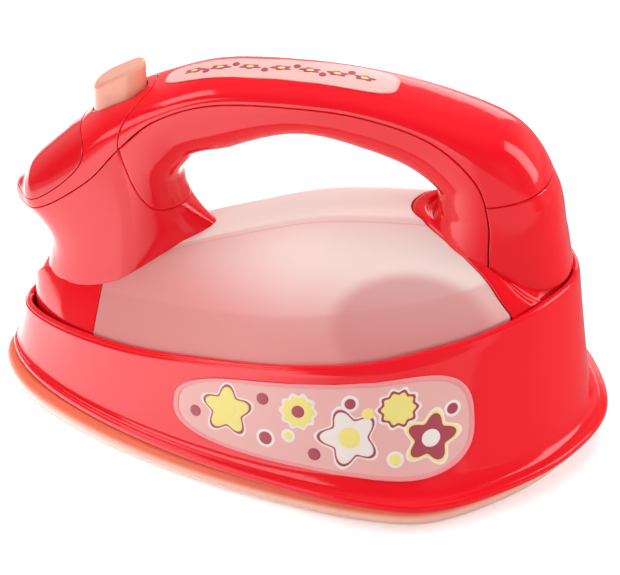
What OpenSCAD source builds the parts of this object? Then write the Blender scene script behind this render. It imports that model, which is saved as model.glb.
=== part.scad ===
// Toy iron for pretend play: hollow moulded shells on a flat peach sole, with a lit dome,
// a sprung button on the handle and a battery box behind a door in the sole.
// The nose points to -X, the rear to +X, and the sole rests on z = 0.

/* [Sole] */
// Length of the sole from its nose to its rear edge
sole_l = 184; // [170:1:200]
// Width of the sole at its widest place
sole_w = 120; // [110:1:128]
// Thickness of the sole
sole_t = 7; // [6:0.5:9]
// Roundness of the edge of the sole
sole_edge = 2; // [1:0.25:2.5]
// Depth that the battery door lies inside the sole
door_lift = 0.5; // [0.3:0.1:1]
// Thickness of the battery door
door_t = 2.2; // [1.8:0.1:2.6]

/* [Body] */
// Distance that the flange stands out past the rear of the sole
flange_out = 4.8; // [4:0.5:8]
// Thickness of the flange
flange_t = 2.6; // [2:0.2:3.5]
// Width of the ledge of the flange at the rear
flange_ledge = 4.6; // [3:0.2:6]
// Width between the two sides of the body at its upper edge
rim_w = 98; // [92:1:102]
// Height of the upper edge of the body at the rear
rim_h = 60; // [54:1:64]
// Wall of the body
body_wall = 2.2; // [1.8:0.1:2.6]

/* [Dome] */
// Wall of the dome and of the covers beside it
dome_wall = 1.8; // [1.5:0.1:2.2]
// Depth that the edge of the dome reaches down inside the body
dome_tuck = 5; // [3:0.5:7]
// Width of the flat ridge of the dome
ridge_w = 17; // [14:1:20]
// Gap between the dome and the body
dome_gap = 0.6; // [0.4:0.1:0.9]

/* [Handle] */
// Height of the top of the handle
handle_h = 114.5; // [112:0.5:118]
// Width of the handle where the hand holds it
grip_w = 25; // [22:0.5:28]
// Thickness of the handle where the hand holds it
grip_t = 20; // [18:0.5:22]
// Wall of the shells of the handle
handle_wall = 2; // [1.6:0.1:2.4]
// Seam between two shells
seam_gap = 0.3; // [0.2:0.05:0.4]

/* [Button] */
// Length of the button along the handle
button_l = 16; // [15:0.5:18]
// Width of the button
button_w = 11; // [9:0.5:12]
// Height that the button stands above the handle
button_rise = 7; // [6:0.5:8.5]
// Travel of the button
button_travel = 2.5; // [2:0.25:3]
// Gap around the button
button_gap = 0.4; // [0.3:0.05:0.6]

/* [Battery] */
// Length of a cell
cell_l = 50.5; // [50:0.1:51]
// Diameter of a cell
cell_d = 14.2; // [13.5:0.1:14.5]
// Wall of the battery box
box_wall = 1.5; // [1.2:0.1:1.8]

/* [Inside] */
// Diameter of the loudspeaker
speaker_d = 34; // [30:1:38]
// Length of the circuit board
board_l = 34; // [30:1:38]
// Width of the circuit board
board_w = 26; // [22:1:30]
// Thickness of the circuit boards
board_t = 1.6; // [1.2:0.1:1.8]
// Diameter of a lamp
lamp_d = 5; // [4:0.5:6]
// Diameter of the thread of the case screws
screw_d = 2.6; // [2.4:0.1:3]

/* [Hidden] */
$fn = 48;

// Length over the sole and the flange, which is the length of the whole iron
iron_l = sole_l + flange_out;
nose_x = -iron_l / 2;
half_sole_w = sole_w / 2;
half_rim_w = rim_w / 2;
half_grip_w = grip_w / 2;
// The ridge of the dome keeps its share of the handle's height, so the finger gap stays open
crest_share = 0.642;
crest_h = crest_share * handle_h;
over = sole_t / 10;
floor_gap = seam_gap;

// Half outline of the sole from the nose to the rear: share of its length, share of half its width
sole_outline_shares = [
    [0, 0], [0.016, 0.17], [0.065, 0.36], [0.147, 0.54], [0.266, 0.72], [0.408, 0.87],
    [0.549, 0.96], [0.679, 1], [0.788, 0.95], [0.886, 0.71], [0.962, 0.39], [1, 0]
];
// Half outline of the body's upper edge: share of the sole's length, share of half the rim's width
rim_outline_shares = [
    [0.038, 0], [0.052, 0.165], [0.098, 0.35], [0.174, 0.56], [0.283, 0.755], [0.413, 0.91],
    [0.543, 1], [0.668, 0.97], [0.766, 0.86], [0.853, 0.69], [0.929, 0.38], [0.967, 0]
];
// Height of that edge at the same places, as a share of its height at the rear
rim_height_shares = [
    0.4, 0.425, 0.46, 0.517, 0.578, 0.663, 0.733, 0.787, 0.85, 0.905, 0.945, 0.96
];
// Height of the ridge above those places, as a share of the highest
crest_height_shares = [
    0.34, 0.475, 0.54, 0.6, 0.715, 0.84, 0.95, 0.993, 0.998, 0.945, 0.86, 0.8
];
// How far the flange stands out at those places, as a share of its reach at the rear
flange_shares = [-0.5, -0.5, -0.45, -0.3, -0.15, 0, 0.2, 0.42, 0.65, 0.78, 0.92, 1];
last_place = len(sole_outline_shares) - 1;

// Seam line of the handle from its nose to the foot of its column. Each row holds the place
// along and up, as shares of half the length and of the height, then the height above and below
// the seam as shares of the grip's thickness, and half the width as a share of the grip's.
handle_shares = [
    [-0.938, 0.553, 0.05, 0.045, 0.09], [-0.865, 0.555, 0.44, 0.18, 0.92],
    [-0.782, 0.588, 0.6, 0.3, 1.16], [-0.645, 0.682, 0.66, 0.48, 1.24],
    [-0.547, 0.782, 0.54, 0.92, 1.2], [-0.432, 0.872, 0.3, 0.9, 1.12],
    [-0.253, 0.933, 0.26, 0.95, 1.04], [0, 0.95, 0.28, 0.65, 1],
    [0.225, 0.943, 0.28, 0.735, 1], [0.432, 0.9, 0.36, 0.8, 1.08],
    [0.572, 0.81, 0.71, 0.79, 1.22], [0.618, 0.705, 0.9, 0.86, 1.3],
    [0.624, 0.603, 0.95, 0.95, 1.34], [0.63, 0.5, 0.95, 0.98, 1.36]
];
// Places along that table where one shell of the handle ends and the next begins
cap_end_share = 3.5;
cap_side_share = 1.1;
collar_top_share = 5;
neck_end_share = 4;
cover_end_share = 10.65;
column_end_share = 13;
column_low_share = 10.7;
column_high_share = 10.9;
// Places along the outline where the front shoulder and the saddle meet the dome
shoulder_start_share = 0.9;
shoulder_end_share = 3.15;
// Front edge of the saddle: share of the way across, place along the outline
saddle_edge_shares = [
    [0, 7.27], [0.125, 7.33], [0.25, 7.53], [0.375, 8.06], [0.5, 8.6],
    [0.625, 8.95], [0.75, 9.15], [0.875, 9.33], [1, 9.48]
];
// Part of the steps across the dome that its ridge takes, and the bend of its sides
ridge_share = 0.25;
fall_share = 1.18;
// Squareness of the sections of the handle
section_share = 0.82;

function mix(a, b, t) = a + (b - a) * t;
function cubic(a, b, c, d, t) =
    b + (c - a) * t / 2 + (2 * a - 5 * b + 4 * c - d) * t * t / 2
    + (3 * b - a - 3 * c + d) * t * t * t / 2;
// Smooth curve through the rows of a table, with a row before its first and one after its last
function through(rows, before, after, u) =
    let (i = max(0, min(floor(u), len(rows) - 2)))
    cubic(i > 0 ? rows[i - 1] : before, rows[i], rows[i + 1],
          i < len(rows) - 2 ? rows[i + 2] : after, u - i);
function curve(rows, u) =
    let (n = len(rows) - 1)
    through(rows, 2 * rows[0] - rows[1], 2 * rows[n] - rows[n - 1], u);
// Half outlines meet their mirror image squarely at the nose and at the rear
function flip(p) = [p[0], -p[1]];
function outline(rows, u) = through(rows, flip(rows[1]), flip(rows[last_place - 1]), u);

function sole_at(u) =
    let (p = outline(sole_outline_shares, u))
    [nose_x + p[0] * sole_l, p[1] * half_sole_w];
function rim_at(u) =
    let (p = outline(rim_outline_shares, u))
    [nose_x + p[0] * sole_l, p[1] * half_rim_w];
function rim_z(u) = curve(rim_height_shares, u) * rim_h;
function crest_z(u) = curve(crest_height_shares, u) * crest_h;

// Whole loop: places 0 to last_place run down the near side and back up the far side
loop_n = 66;
function loop_place(k) =
    let (u = 2 * last_place * k / loop_n)
    u <= last_place ? [u, -1] : [2 * last_place - u, 1];
function side_of(k, p) = [p[0], p[1] * loop_place(k)[1]];
// Outward direction of the sole's outline on the near side
function out_dir(u) =
    let (d = 0.02, a = sole_at(max(0, u - d)), b = sole_at(min(last_place, u + d)), v = b - a)
    u < d ? [-1, 0] : u > last_place - d ? [1, 0] : [-v[1], v[0]] / norm(v);
function sole_offset(u, off) = sole_at(u) + out_dir(u) * off;
function sole_loop(off, z) = [
    for (k = [0:loop_n - 1])
        let (u = loop_place(k)[0], p = side_of(k, sole_offset(u, off)))
        [p[0], p[1], z]
];

// Wall of the body: t is 0 at the foot on the flange and 1 at the upper edge
function flange_off(u) = curve(flange_shares, u) * flange_out;
function foot_off(u) = flange_off(u) - flange_ledge * mix(0.2, 1, u / last_place);
foot_z = sole_t + floor_gap + flange_t;
function wall_at(u, t, inset) =
    let (g = pow(t, 0.8),
         f = sole_offset(u, foot_off(u) - inset),
         r = rim_at(u) - out_dir(u) * inset,
         p = mix(f, r, g))
    [p[0], p[1], mix(foot_z, rim_z(u), t)];
function wall_loop(t, inset, z = undef) = [
    for (k = [0:loop_n - 1])
        let (u = loop_place(k)[0], w = wall_at(u, t, inset), p = side_of(k, w))
        [p[0], p[1], is_undef(z) ? w[2] : z]
];
function foot_loop(inset, z) = [
    for (k = [0:loop_n - 1])
        let (u = loop_place(k)[0], p = side_of(k, sole_offset(u, foot_off(u) - inset)))
        [p[0], p[1], z]
];
function flange_loop(off, z) = [
    for (k = [0:loop_n - 1])
        let (u = loop_place(k)[0], p = side_of(k, sole_offset(u, flange_off(u) + off)))
        [p[0], p[1], z]
];

// Upper surface inside the rim: a flat ridge with sides that fall to the rim. u follows the
// outline, and v runs from -1 to 1 across it, with the ridge between two of its steps.
tank_in = body_wall + dome_gap;
function tank_half(u) = max(rim_at(u)[1] - tank_in, over);
function tank_x(u) = rim_at(u)[0] + tank_in * mix(1, -1, u / last_place);
function ridge_half(u) = min(ridge_w, tank_half(u)) / 2;
function fall(u, y) =
    let (r = ridge_half(u), a = max(0, abs(y) - r) / (tank_half(u) - r))
    pow(min(1, a), fall_share);
function crown_z(u, y) = mix(crest_z(u), rim_z(u) - dome_gap, fall(u, y));
function across(u, v) =
    let (r = ridge_half(u), e = ridge_share)
    abs(v) < e ? v / e * r : sign(v) * mix(r, tank_half(u), (abs(v) - e) / (1 - e));
function tank_at(u, v) = let (y = across(u, v)) [tank_x(u), y, crown_z(u, y)];
place_of_x = [for (u = [0:0.25:last_place]) [tank_x(u), u]];
function crown_over(x, y) =
    let (u = lookup(x, place_of_x))
    crown_z(u, y);
function saddle_place(v) = lookup(abs(v), saddle_edge_shares);

// Surface of the handle: u follows its table and a is the angle around it, 0 at the near seam,
// 90 on top, 180 at the far seam and 270 below
function handle_row(u) = curve(handle_shares, u);
function seam_line(u) = let (r = handle_row(u)) [r[0] * iron_l / 2, r[1] * handle_h];
// The first stretch starts slowly along the seam while its section grows, which rounds the nose
function eased(u) = u < 1 ? u * u * (2 - u) : u;
function seam_point(u) = seam_line(eased(u));
function seam_normal(u) =
    let (d = 0.05, e = eased(u), v = seam_line(e + d) - seam_line(e - d))
    [-v[1], v[0]] / norm(v);
function rounded(c) = sign(c) * pow(abs(c), section_share);
function handle_at(u, a, inset = 0) =
    let (r = handle_row(u), p = seam_point(u), n = seam_normal(u),
         h = (sin(a) >= 0 ? r[2] : r[3]) * grip_t - inset,
         w = r[4] * half_grip_w - inset,
         lift = h * rounded(sin(a)) + sign(sin(a)) * seam_gap / 2)
    [p[0] + n[0] * lift, -w * rounded(cos(a)), p[1] + n[1] * lift];

// Closed solid whose rings follow one another around a closed section
module loop_shell(rings) {
    n = len(rings);
    m = len(rings[0]);
    faces = [
        for (i = [0:n - 1], j = [0:m - 1])
            let (a = i * m + j, b = i * m + (j + 1) % m)
            let (c = (i + 1) % n * m + (j + 1) % m, d = (i + 1) % n * m + j)
            each [[a, b, c], [a, c, d]]
    ];
    polyhedron([for (r = rings) each r], faces);
}

// Closed solid between two grids of points that face each other
module patch_shell(outer, inner) {
    n = len(outer);
    m = len(outer[0]);
    s = n * m;
    top = [
        for (i = [0:n - 2], j = [0:m - 2])
            let (a = i * m + j, b = a + 1, c = a + m + 1, d = a + m)
            each [[a, b, c], [a, c, d]]
    ];
    edge = concat(
        [for (j = [0:m - 2]) [j, j + 1]],
        [for (i = [0:n - 2]) [i * m + m - 1, (i + 1) * m + m - 1]],
        [for (j = [m - 1:-1:1]) [(n - 1) * m + j, (n - 1) * m + j - 1]],
        [for (i = [n - 1:-1:1]) [i * m, (i - 1) * m]]
    );
    faces = concat(
        top,
        [for (f = top) [f[2] + s, f[1] + s, f[0] + s]],
        [for (e = edge) each [[e[0], e[0] + s, e[1] + s], [e[0], e[1] + s, e[1]]]]
    );
    polyhedron(concat([for (r = outer) each r], [for (r = inner) each r]), faces);
}

// Part of the upper surface between two places given for each v
module crown_shell(from, to, steps, thick, closed = false) {
    vs = [for (j = [-8:8]) j / 8];
    grid = function (inset) concat(
        closed ? [front_row(from(0), vs, inset)] : [],
        [
            for (i = [0:steps]) concat(
                [tuck_point(mix(from(-1), to(-1), i / steps), -1, inset)],
                [for (v = vs) crown_point(mix(from(v), to(v), i / steps), v, inset)],
                [tuck_point(mix(from(1), to(1), i / steps), 1, inset)]
            )
        ]
    );
    patch_shell(grid(0), grid(thick));
}
// Row that closes the front, just ahead of the first one and as low as the tucked edge
function front_row(u, vs, inset) =
    let (z = rim_z(u) - dome_tuck, x = tank_x(u) - seam_gap + inset,
         edge = 1 + ridge_share / 9, narrow = inset > 0 ? 0.7 : 1)
    [for (v = concat([-edge], vs, [edge])) [x, across(u, v) * narrow, z]];
function crown_point(u, v, inset) =
    let (p = tank_at(u, v), w = tank_half(u))
    [p[0] + forward(u, inset), p[1] * max(w - inset, over) / w, p[2] - inset];
function tuck_point(u, v, inset) =
    let (p = tank_at(u, v), w = tank_half(u))
    [p[0] + forward(u, inset), p[1] * max(w - inset, over) / w, p[2] - dome_tuck];
// Only the closed front has its wall to the front
function forward(u, inset) = u == shoulder_start_share ? inset / 2 : 0;

// Part of the handle's surface: a runs between two angles, u between the places where the
// shell ends at that angle and inset
module handle_shell(from, to, a0, a1, steps, turns) {
    grid = function (inset) [
        for (i = [0:steps]) [
            for (j = [0:turns])
                let (a = mix(a0 + seam_turn, a1 - seam_turn, j / turns))
                handle_at(mix(from(a, inset), to(a, inset), i / steps), a, inset)
        ]
    ];
    patch_shell(grid(0), grid(handle_wall));
}
// Angle that keeps each shell just clear of the seam line
seam_turn = 0.1;

// Stadium outline, a bar with round ends
module stadium(l, w) {
    square([l - w, w], center = true);
    for (side = [-1, 1])
        translate([side * (l - w) / 2, 0])
            circle(d = w);
}

// Battery compartment, centred under the saddle
box_place_share = 0.1386;
box_x = box_place_share * sole_l;
box_in_l = cell_l + box_wall * 4;
box_in_w = 2 * cell_d + box_wall;
door_rim = 2 * box_wall;
door_z = door_lift + door_t;
cell_z = door_z + seam_gap + cell_d / 2;
box_top = cell_z + cell_d / 2 + seam_gap + box_wall;
tab_l = 6 * box_wall;
tab_x = box_x + box_in_l / 2 + door_rim + tab_l / 3;

// Screws
head_d = 2 * screw_d;
head_h = screw_d * 0.7;
pilot_d = screw_d - box_wall / 10;
pass_d = screw_d + seam_gap;
boss_d = 2.6 * screw_d;
sole_screw_shares = [2.9, 9.6];
boss_inset = boss_d / 2 + 2 * body_wall;
boss_top = sole_t + 6 * screw_d;
sole_head_z = sole_t / 2;
// Places of the handle screws along the handle's table
grip_screw_shares = [6.4, 8.1];

// Button: it moves straight down, and its top slants like the handle below it
button_place_share = 4.35;
button_at = handle_at(button_place_share, 90);
button_run = handle_at(button_place_share + 0.6, 90) - handle_at(button_place_share - 0.6, 90);
button_slope = atan2(button_run[2], button_run[0]);
button_high = 1.75 * button_rise;
lip = 3 * button_gap;
lip_t = 3 * button_gap;
// The lip stays under the slanted wall around the hole
lip_z = -(button_l + lip) / 2 * tan(button_slope) - 1.5 * handle_wall - 3 * button_gap;
stem_d = button_w / 2;
plunger_d = button_w / 3;
plunger_fit = seam_gap / 6;
plunger_top = lip_z - lip_t - 2 * seam_gap;
switch_d = plunger_d * 1.8;
switch_top = plunger_top - button_travel - 2 * seam_gap;
board_top = switch_top - 2 * button_travel;
spring_wire = button_w / 14;
spring_d = switch_d + 2 * spring_wire + 2 * seam_gap;
spring_turns = 5;
switch_board_l = button_w + lip;
post_d = 1.5 * lip;
post_y = (button_w + lip) / 2 + button_gap + post_d / 2;
switch_board_w = 2 * post_y + post_d;

// Main board, on posts in front of the battery box
board_x = box_x - box_in_l / 2 - box_wall - board_l / 2 - 2 * dome_tuck;
post_h = 4 * board_t;
board_z = sole_t + post_h;
board_post_at = [board_l / 2 - 2 * board_t, board_w / 2 - 2 * board_t];
speaker_x = box_x + box_wall;
speaker_wall = 1.2 * box_wall;
speaker_h = speaker_d / 3;

module at_button() {
    translate(button_at)
        children();
}

module tube(od, id, h) {
    difference() {
        cylinder(d = od, h = h);
        translate([0, 0, -over])
            cylinder(d = id, h = h + 2 * over);
    }
}

module screw(z, length) {
    translate([0, 0, z]) {
        cylinder(d = head_d, h = head_h);
        translate([0, 0, head_h / 2])
            cylinder(d = screw_d, h = length);
    }
}

// Coil spring along +Z as one tube: its ends run a full turn nearly flat
module coil(d, wire, h, turns) {
    steps = 8 * turns;
    sides = 6;
    rings = [
        for (i = [0:steps])
            let (a = 360 * i / 8, z = wire / 2 + (h - wire) * i / steps)
            [
                for (k = [0:sides - 1])
                    let (b = 360 * k / sides, r = d / 2 + wire / 2 * cos(b))
                    [r * cos(a), r * sin(a), z + wire / 2 * sin(b)]
            ]
    ];
    ends = [[for (k = [sides - 1:-1:0]) k], [for (k = [0:sides - 1]) steps * sides + k]];
    faces = [
        for (i = [0:steps - 1], k = [0:sides - 1])
            let (a = i * sides + k, b = i * sides + (k + 1) % sides)
            each [[a, b, b + sides], [a, b + sides, a + sides]]
    ];
    polyhedron([for (r = rings) each r], concat(faces, ends));
}

function sole_screw_at(u, side) =
    let (p = wall_at(u, 0.15, boss_inset))
    [p[0], side * p[1]];

module at_sole_screws() {
    for (u = sole_screw_shares, side = [-1, 1])
        translate(sole_screw_at(u, side))
            children();
}

module soleplate() {
    color("#f7b394")
    difference() {
        union() {
            hull_layers();
            for (x = [-1, 1], y = [-1, 1])
                translate([board_x + x * board_post_at[0], y * board_post_at[1], sole_t / 2])
                    cylinder(d = 2 * post_d, h = sole_t / 2 + post_h);
        }
        door_recess();
        at_sole_screws() {
            translate([0, 0, -over])
                cylinder(d = head_d + 2 * seam_gap, h = sole_head_z + over);
            cylinder(d = pass_d, h = sole_t + over);
        }
        translate([tab_x, 0, 0])
            cylinder(d = screw_d + 2 * plunger_fit, h = sole_t - seam_gap * 3);
    }
}
// Slab whose edge is stepped in at the floor and at the top, as a rounded edge would be
edge_steps_shares = [[0, 1], [0.12, 0.5], [0.3, 0.15], [0.5, 0]];
module sole_outline(off) {
    polygon([for (p = sole_loop(off, 0)) [p[0], p[1]]]);
}
module hull_layers() {
    for (s = edge_steps_shares)
        translate([0, 0, s[0] * sole_t])
            linear_extrude(sole_t * (1 - 2 * s[0]) + (s[0] == 0.5 ? over : 0))
                sole_outline(-sole_edge * s[1]);
}
module door_outline(grow) {
    translate([box_x, 0])
        square([box_in_l + 2 * door_rim + 2 * grow, box_in_w + 2 * door_rim + 2 * grow],
               center = true);
    translate([tab_x, 0])
        square([tab_l + 2 * grow, tab_l + 2 * grow], center = true);
}
module door_recess() {
    translate([0, 0, -over])
        linear_extrude(door_z + seam_gap / 2 + over)
            door_outline(seam_gap);
    translate([box_x, 0, sole_t / 2])
        cube([box_in_l, box_in_w, sole_t + 2 * over], center = true);
}

// Steps of the outer wall from the upper edge down to the foot
wall_steps_shares = [1, 0.86, 0.74, 0.62, 0.49, 0.36, 0.24, 0.12, 0];
module body_shell() {
    color("#e8242f")
    difference() {
        union() {
            loop_shell([
                wall_loop(0.12, body_wall),
                wall_loop(0.5, body_wall),
                wall_loop(1, body_wall),
                each [for (t = wall_steps_shares) wall_loop(t, 0)],
                flange_loop(-flange_t / 5, sole_t + floor_gap + flange_t),
                flange_loop(0, sole_t + floor_gap + flange_t * 0.75),
                flange_loop(0, sole_t + floor_gap + flange_t / 4),
                flange_loop(-flange_t / 5, sole_t + floor_gap),
                foot_loop(body_wall, sole_t + floor_gap)
            ]);
            for (u = sole_screw_shares, side = [-1, 1])
                case_boss(u, side);
        }
        at_sole_screws()
            translate([0, 0, sole_t])
                cylinder(d = pilot_d, h = boss_top - sole_t - screw_d);
    }
}
// Screw boss with the rib that ties it to the wall
module case_boss(u, side) {
    p = sole_screw_at(u, side);
    q = wall_at(u, 0.15, body_wall / 2);
    d = [q[0] - p[0], side * q[1] - p[1]];
    translate([p[0], p[1], sole_t + floor_gap])
        cylinder(d = boss_d, h = boss_top - sole_t - floor_gap);
    translate([p[0], p[1], foot_z])
        rotate([0, 0, atan2(d[1], d[0])])
            translate([0, -body_wall / 2, 0])
                cube([norm(d), body_wall, 2 * flange_t]);
}

module front_shoulder() {
    color("#e8242f")
    crown_shell(
        function (v) shoulder_start_share, function (v) shoulder_end_share,
        8, dome_wall, closed = true
    );
}
module tank_dome() {
    color("#f3c9c0")
    crown_shell(
        function (v) shoulder_end_share + place_gap,
        function (v) saddle_place(v) - place_gap,
        26, dome_wall
    );
}
module rear_saddle() {
    color("#e2202b")
    crown_shell(
        function (v) saddle_place(v) + place_gap,
        function (v) last_place - 0.3,
        10, dome_wall
    );
}
// Half a seam, as a distance along the table of the outline
place_gap = seam_gap * last_place / sole_l;

// Hollow foot of the handle, from the dome up to the seam of the nose cap and the collar
neck_n = 18;
neck_corner = 80;
// Clearance below the feet of the neck and of the column
foot_clear = 2.8 * seam_gap;
waist_share = 0.08;
// The rear half of the foot narrows by this share of its half width
foot_taper_share = 0.4;
neck_l = 0.282 * iron_l;
neck_w = 1.2 * grip_w;
neck_x = -0.2805 * iron_l;
function neck_top(inset) = concat(
    [for (i = [neck_n:-1:0]) handle_low(mix(tip_place(inset), neck_end_share, i / neck_n), 0, inset)],
    [for (i = [0:neck_n]) handle_low(mix(tip_place(inset), neck_end_share, i / neck_n), 180, inset)],
    [for (j = [1:neck_n - 1]) handle_low(neck_end_share, 180 + 180 * j / neck_n, inset)]
);
// The wall has its thickness at the tip too
function tip_place(inset) = inset > 0 ? 0.5 : 0;
// Points just below the seam line
function handle_low(u, a, inset) =
    let (p = handle_at(u, a, inset), n = seam_normal(u) * seam_gap / 2)
    a == 0 || a == 180 ? [p[0] - n[0], p[1], p[2] - n[1]] : p;
function neck_foot(inset) =
    let (m = 3 * neck_n)
    [
        for (k = [0:m])
            let (a = k <= 2 * neck_n + 1
                     ? mix(-neck_corner, neck_corner - 360, k / (2 * neck_n + 1))
                     : mix(neck_corner, -neck_corner, (k - 2 * neck_n - 1) / neck_n),
                 x = neck_x + (neck_l / 2 - inset) * cos(a),
                 narrow = 1 - foot_taper_share * max(cos(a), 0),
                 y = (neck_w / 2 * narrow - inset) * sin(a))
            [x, y, crown_over(x, y) + foot_clear]
    ];
function blend_ring(a, b, t, waist) =
    let (m = [for (k = [0:len(a) - 1]) mix(a[k], b[k], t)],
         back = max([for (p = m) p[0]]),
         s = 1 - waist * sin(180 * t))
    [for (p = m) [back + (p[0] - back) * s, p[1] * s, p[2]]];
module front_neck() {
    color("#e2202b")
    loop_shell(concat(
        [for (t = [0, 0.15, 0.35, 0.6, 0.85, 1])
            blend_ring(neck_foot(0), neck_top(0), t, waist_share)],
        [for (t = [1, 0.6, 0.3, 0])
            blend_ring(neck_foot(handle_wall), neck_top(handle_wall), t, waist_share)]
    ));
}

// Seams on the handle: the cap ends in a round front on top, and the collar in a round back
function cap_end(a) = mix(cap_side_share, cap_end_share, pow(max(sin(a), 0), 0.5));
function collar_end(a) = mix(neck_end_share, collar_top_share, max(sin(a), 0));
handle_gap = 2.5 * seam_gap / grip_t;

module nose_cap() {
    color("#d81923")
    handle_shell(
        function (a, inset) tip_place(inset), function (a, inset) cap_end(a) - handle_gap,
        0, 180, 14, 16
    );
}
module button_collar() {
    color("#e2202b")
    difference() {
        union() {
            handle_shell(
                function (a, inset) cap_end(a), function (a, inset) collar_end(a) - handle_gap,
                0, 180, 12, 24
            );
            at_button()
                for (side = [-1, 1])
                    translate([0, side * post_y, board_top])
                        cylinder(d = post_d, h = -1.6 * handle_wall - board_top);
        }
        at_button()
            translate([0, 0, lip_z])
                linear_extrude(button_high - lip_z)
                    stadium(button_l + 2 * button_gap, button_w + 2 * button_gap);
    }
}
module handle_top_cover() {
    color("#e8242f")
    difference() {
        union() {
            handle_shell(
                function (a, inset) collar_end(a), function (a, inset) cover_end_share - handle_gap,
                0, 180, 30, 16
            );
            for (u = grip_screw_shares)
                translate(grip_screw_at(u, seam_gap))
                    cylinder(d = boss_d, h = handle_row(u)[2] * grip_t - handle_wall);
        }
        for (u = grip_screw_shares)
            translate(grip_screw_at(u, 0))
                cylinder(d = pilot_d, h = handle_row(u)[2] * grip_t - handle_wall - seam_gap);
    }
}
module handle_lower_shell() {
    color("#e2202b")
    difference() {
        union() {
            handle_shell(
                function (a, inset) neck_end_share + handle_gap,
                function (a, inset) find_foot(a, column_low_share, column_end_share, inset, 12),
                180, 360, 34, 16
            );
            for (u = grip_screw_shares)
                translate(grip_screw_at(u, -grip_low(u) + handle_wall / 2))
                    cylinder(d = boss_d, h = grip_low(u) - handle_wall / 2 - seam_gap);
        }
        for (u = grip_screw_shares) {
            translate(grip_screw_at(u, -grip_low(u) - over))
                cylinder(d = pass_d, h = grip_low(u) + 2 * over);
            translate(grip_screw_at(u, -grip_low(u) - over))
                cylinder(d = head_d + 2 * seam_gap, h = handle_wall + over);
        }
    }
}
module rear_column() {
    color("#e2202b")
    handle_shell(
        function (a, inset) cover_end_share,
        function (a, inset) find_foot(a, column_high_share, column_end_share, inset, 12),
        0, 180, 8, 16
    );
}
// The column stands on the saddle: its last place at each angle is where the saddle begins
function foot_gap(u, a, inset) =
    let (p = handle_at(u, a, inset))
    p[2] - crown_over(p[0], p[1]) - foot_clear;
function find_foot(a, lo, hi, inset, n) =
    let (m = (lo + hi) / 2)
    n == 0 ? lo
    : foot_gap(m, a, inset) > 0 ? find_foot(a, m, hi, inset, n - 1) : find_foot(a, lo, m, inset, n - 1);

function grip_low(u) = handle_row(u)[3] * grip_t;
function grip_screw_at(u, up) = let (p = seam_point(u)) [p[0], 0, p[1] + up];
module handle_screws() {
    color("silver")
    for (u = grip_screw_shares)
        translate(grip_screw_at(u, 0))
            screw(-grip_low(u) + handle_wall - head_h,
                  grip_low(u) + handle_row(u)[2] * grip_t - 3 * handle_wall);
}
module sole_screws() {
    color("silver")
    at_sole_screws()
        screw(sole_head_z - head_h, boss_top - sole_head_z - 2 * screw_d);
}

module push_button() {
    color("#f6b79b")
    at_button() {
        difference() {
            translate([0, 0, lip_z - lip_t])
                linear_extrude(button_high - lip_z + lip_t)
                    stadium(button_l, button_w);
            rotate([0, -button_slope, 0])
                translate([-button_l, -button_w, button_rise])
                    cube([2 * button_l, 2 * button_w, button_l]);
        }
        translate([0, 0, lip_z - lip_t])
            linear_extrude(lip_t)
                stadium(button_l + lip, button_w + lip);
        translate([0, 0, plunger_top + seam_gap])
            cylinder(d = stem_d, h = lip_z - plunger_top - seam_gap);
    }
}
module button_spring() {
    color("silver")
    at_button()
        translate([0, 0, board_top + seam_gap / 3])
            coil(spring_d, spring_wire, lip_z - lip_t - board_top - 2 * seam_gap / 3, spring_turns);
}
module switch_plunger() {
    color("black")
    at_button()
        translate([0, 0, plunger_top - 2 * button_travel])
            cylinder(d = plunger_d, h = 2 * button_travel);
}
module switch_body() {
    color("dimgray")
    at_button()
        translate([0, 0, board_top])
            tube(switch_d, plunger_d + 2 * plunger_fit, switch_top - board_top);
}
module switch_board() {
    color("#2f7d3c")
    at_button()
        translate([-switch_board_l / 2, -switch_board_w / 2, board_top - board_t])
            cube([switch_board_l, switch_board_w, board_t]);
}

// Printed labels lie a hair above the surfaces that carry them
label_t = handle_wall / 5;
label_gap = label_t / 4;
// Places of the ends of the labels, and the side labels' middle and half height on the wall
grip_label_shares = [5.2, 8.3];
side_label_shares = [4.6, 8.7];
label_mid_share = 0.49;
label_half_share = 0.37;
// Angle that the top label opens to each side
label_open = 28;
module handle_label() {
    color("#f0c3bd")
    patch_shell(label_grid(-label_t - label_gap), label_grid(-label_gap));
}
function label_grid(inset) = [
    for (i = [0:16])
        let (f = 2 * i / 16 - 1, open = label_open * pow(1.01 - pow(abs(f), 6), 0.5),
             u = mix(grip_label_shares[0], grip_label_shares[1], i / 16))
        [for (j = [-3:3]) handle_at(u, 90 + open * j / 3, inset)]
];
function side_label_grid(side, inset) = [
    for (i = [0:20])
        let (f = 2 * i / 20 - 1, h = label_half_share * pow(1.01 - pow(abs(f), 4), 0.5),
             u = mix(side_label_shares[0], side_label_shares[1], i / 20))
        [
            for (j = [-3:3])
                let (w = wall_at(u, label_mid_share + h * j * -side / 3, inset))
                [w[0], side * w[1], w[2]]
        ]
];
module side_label(side) {
    color("#f0c3bd")
    patch_shell(side_label_grid(side, -label_t - label_gap), side_label_grid(side, -label_gap));
}
module near_side_label() {
    side_label(-1);
}
module far_side_label() {
    side_label(1);
}

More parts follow.
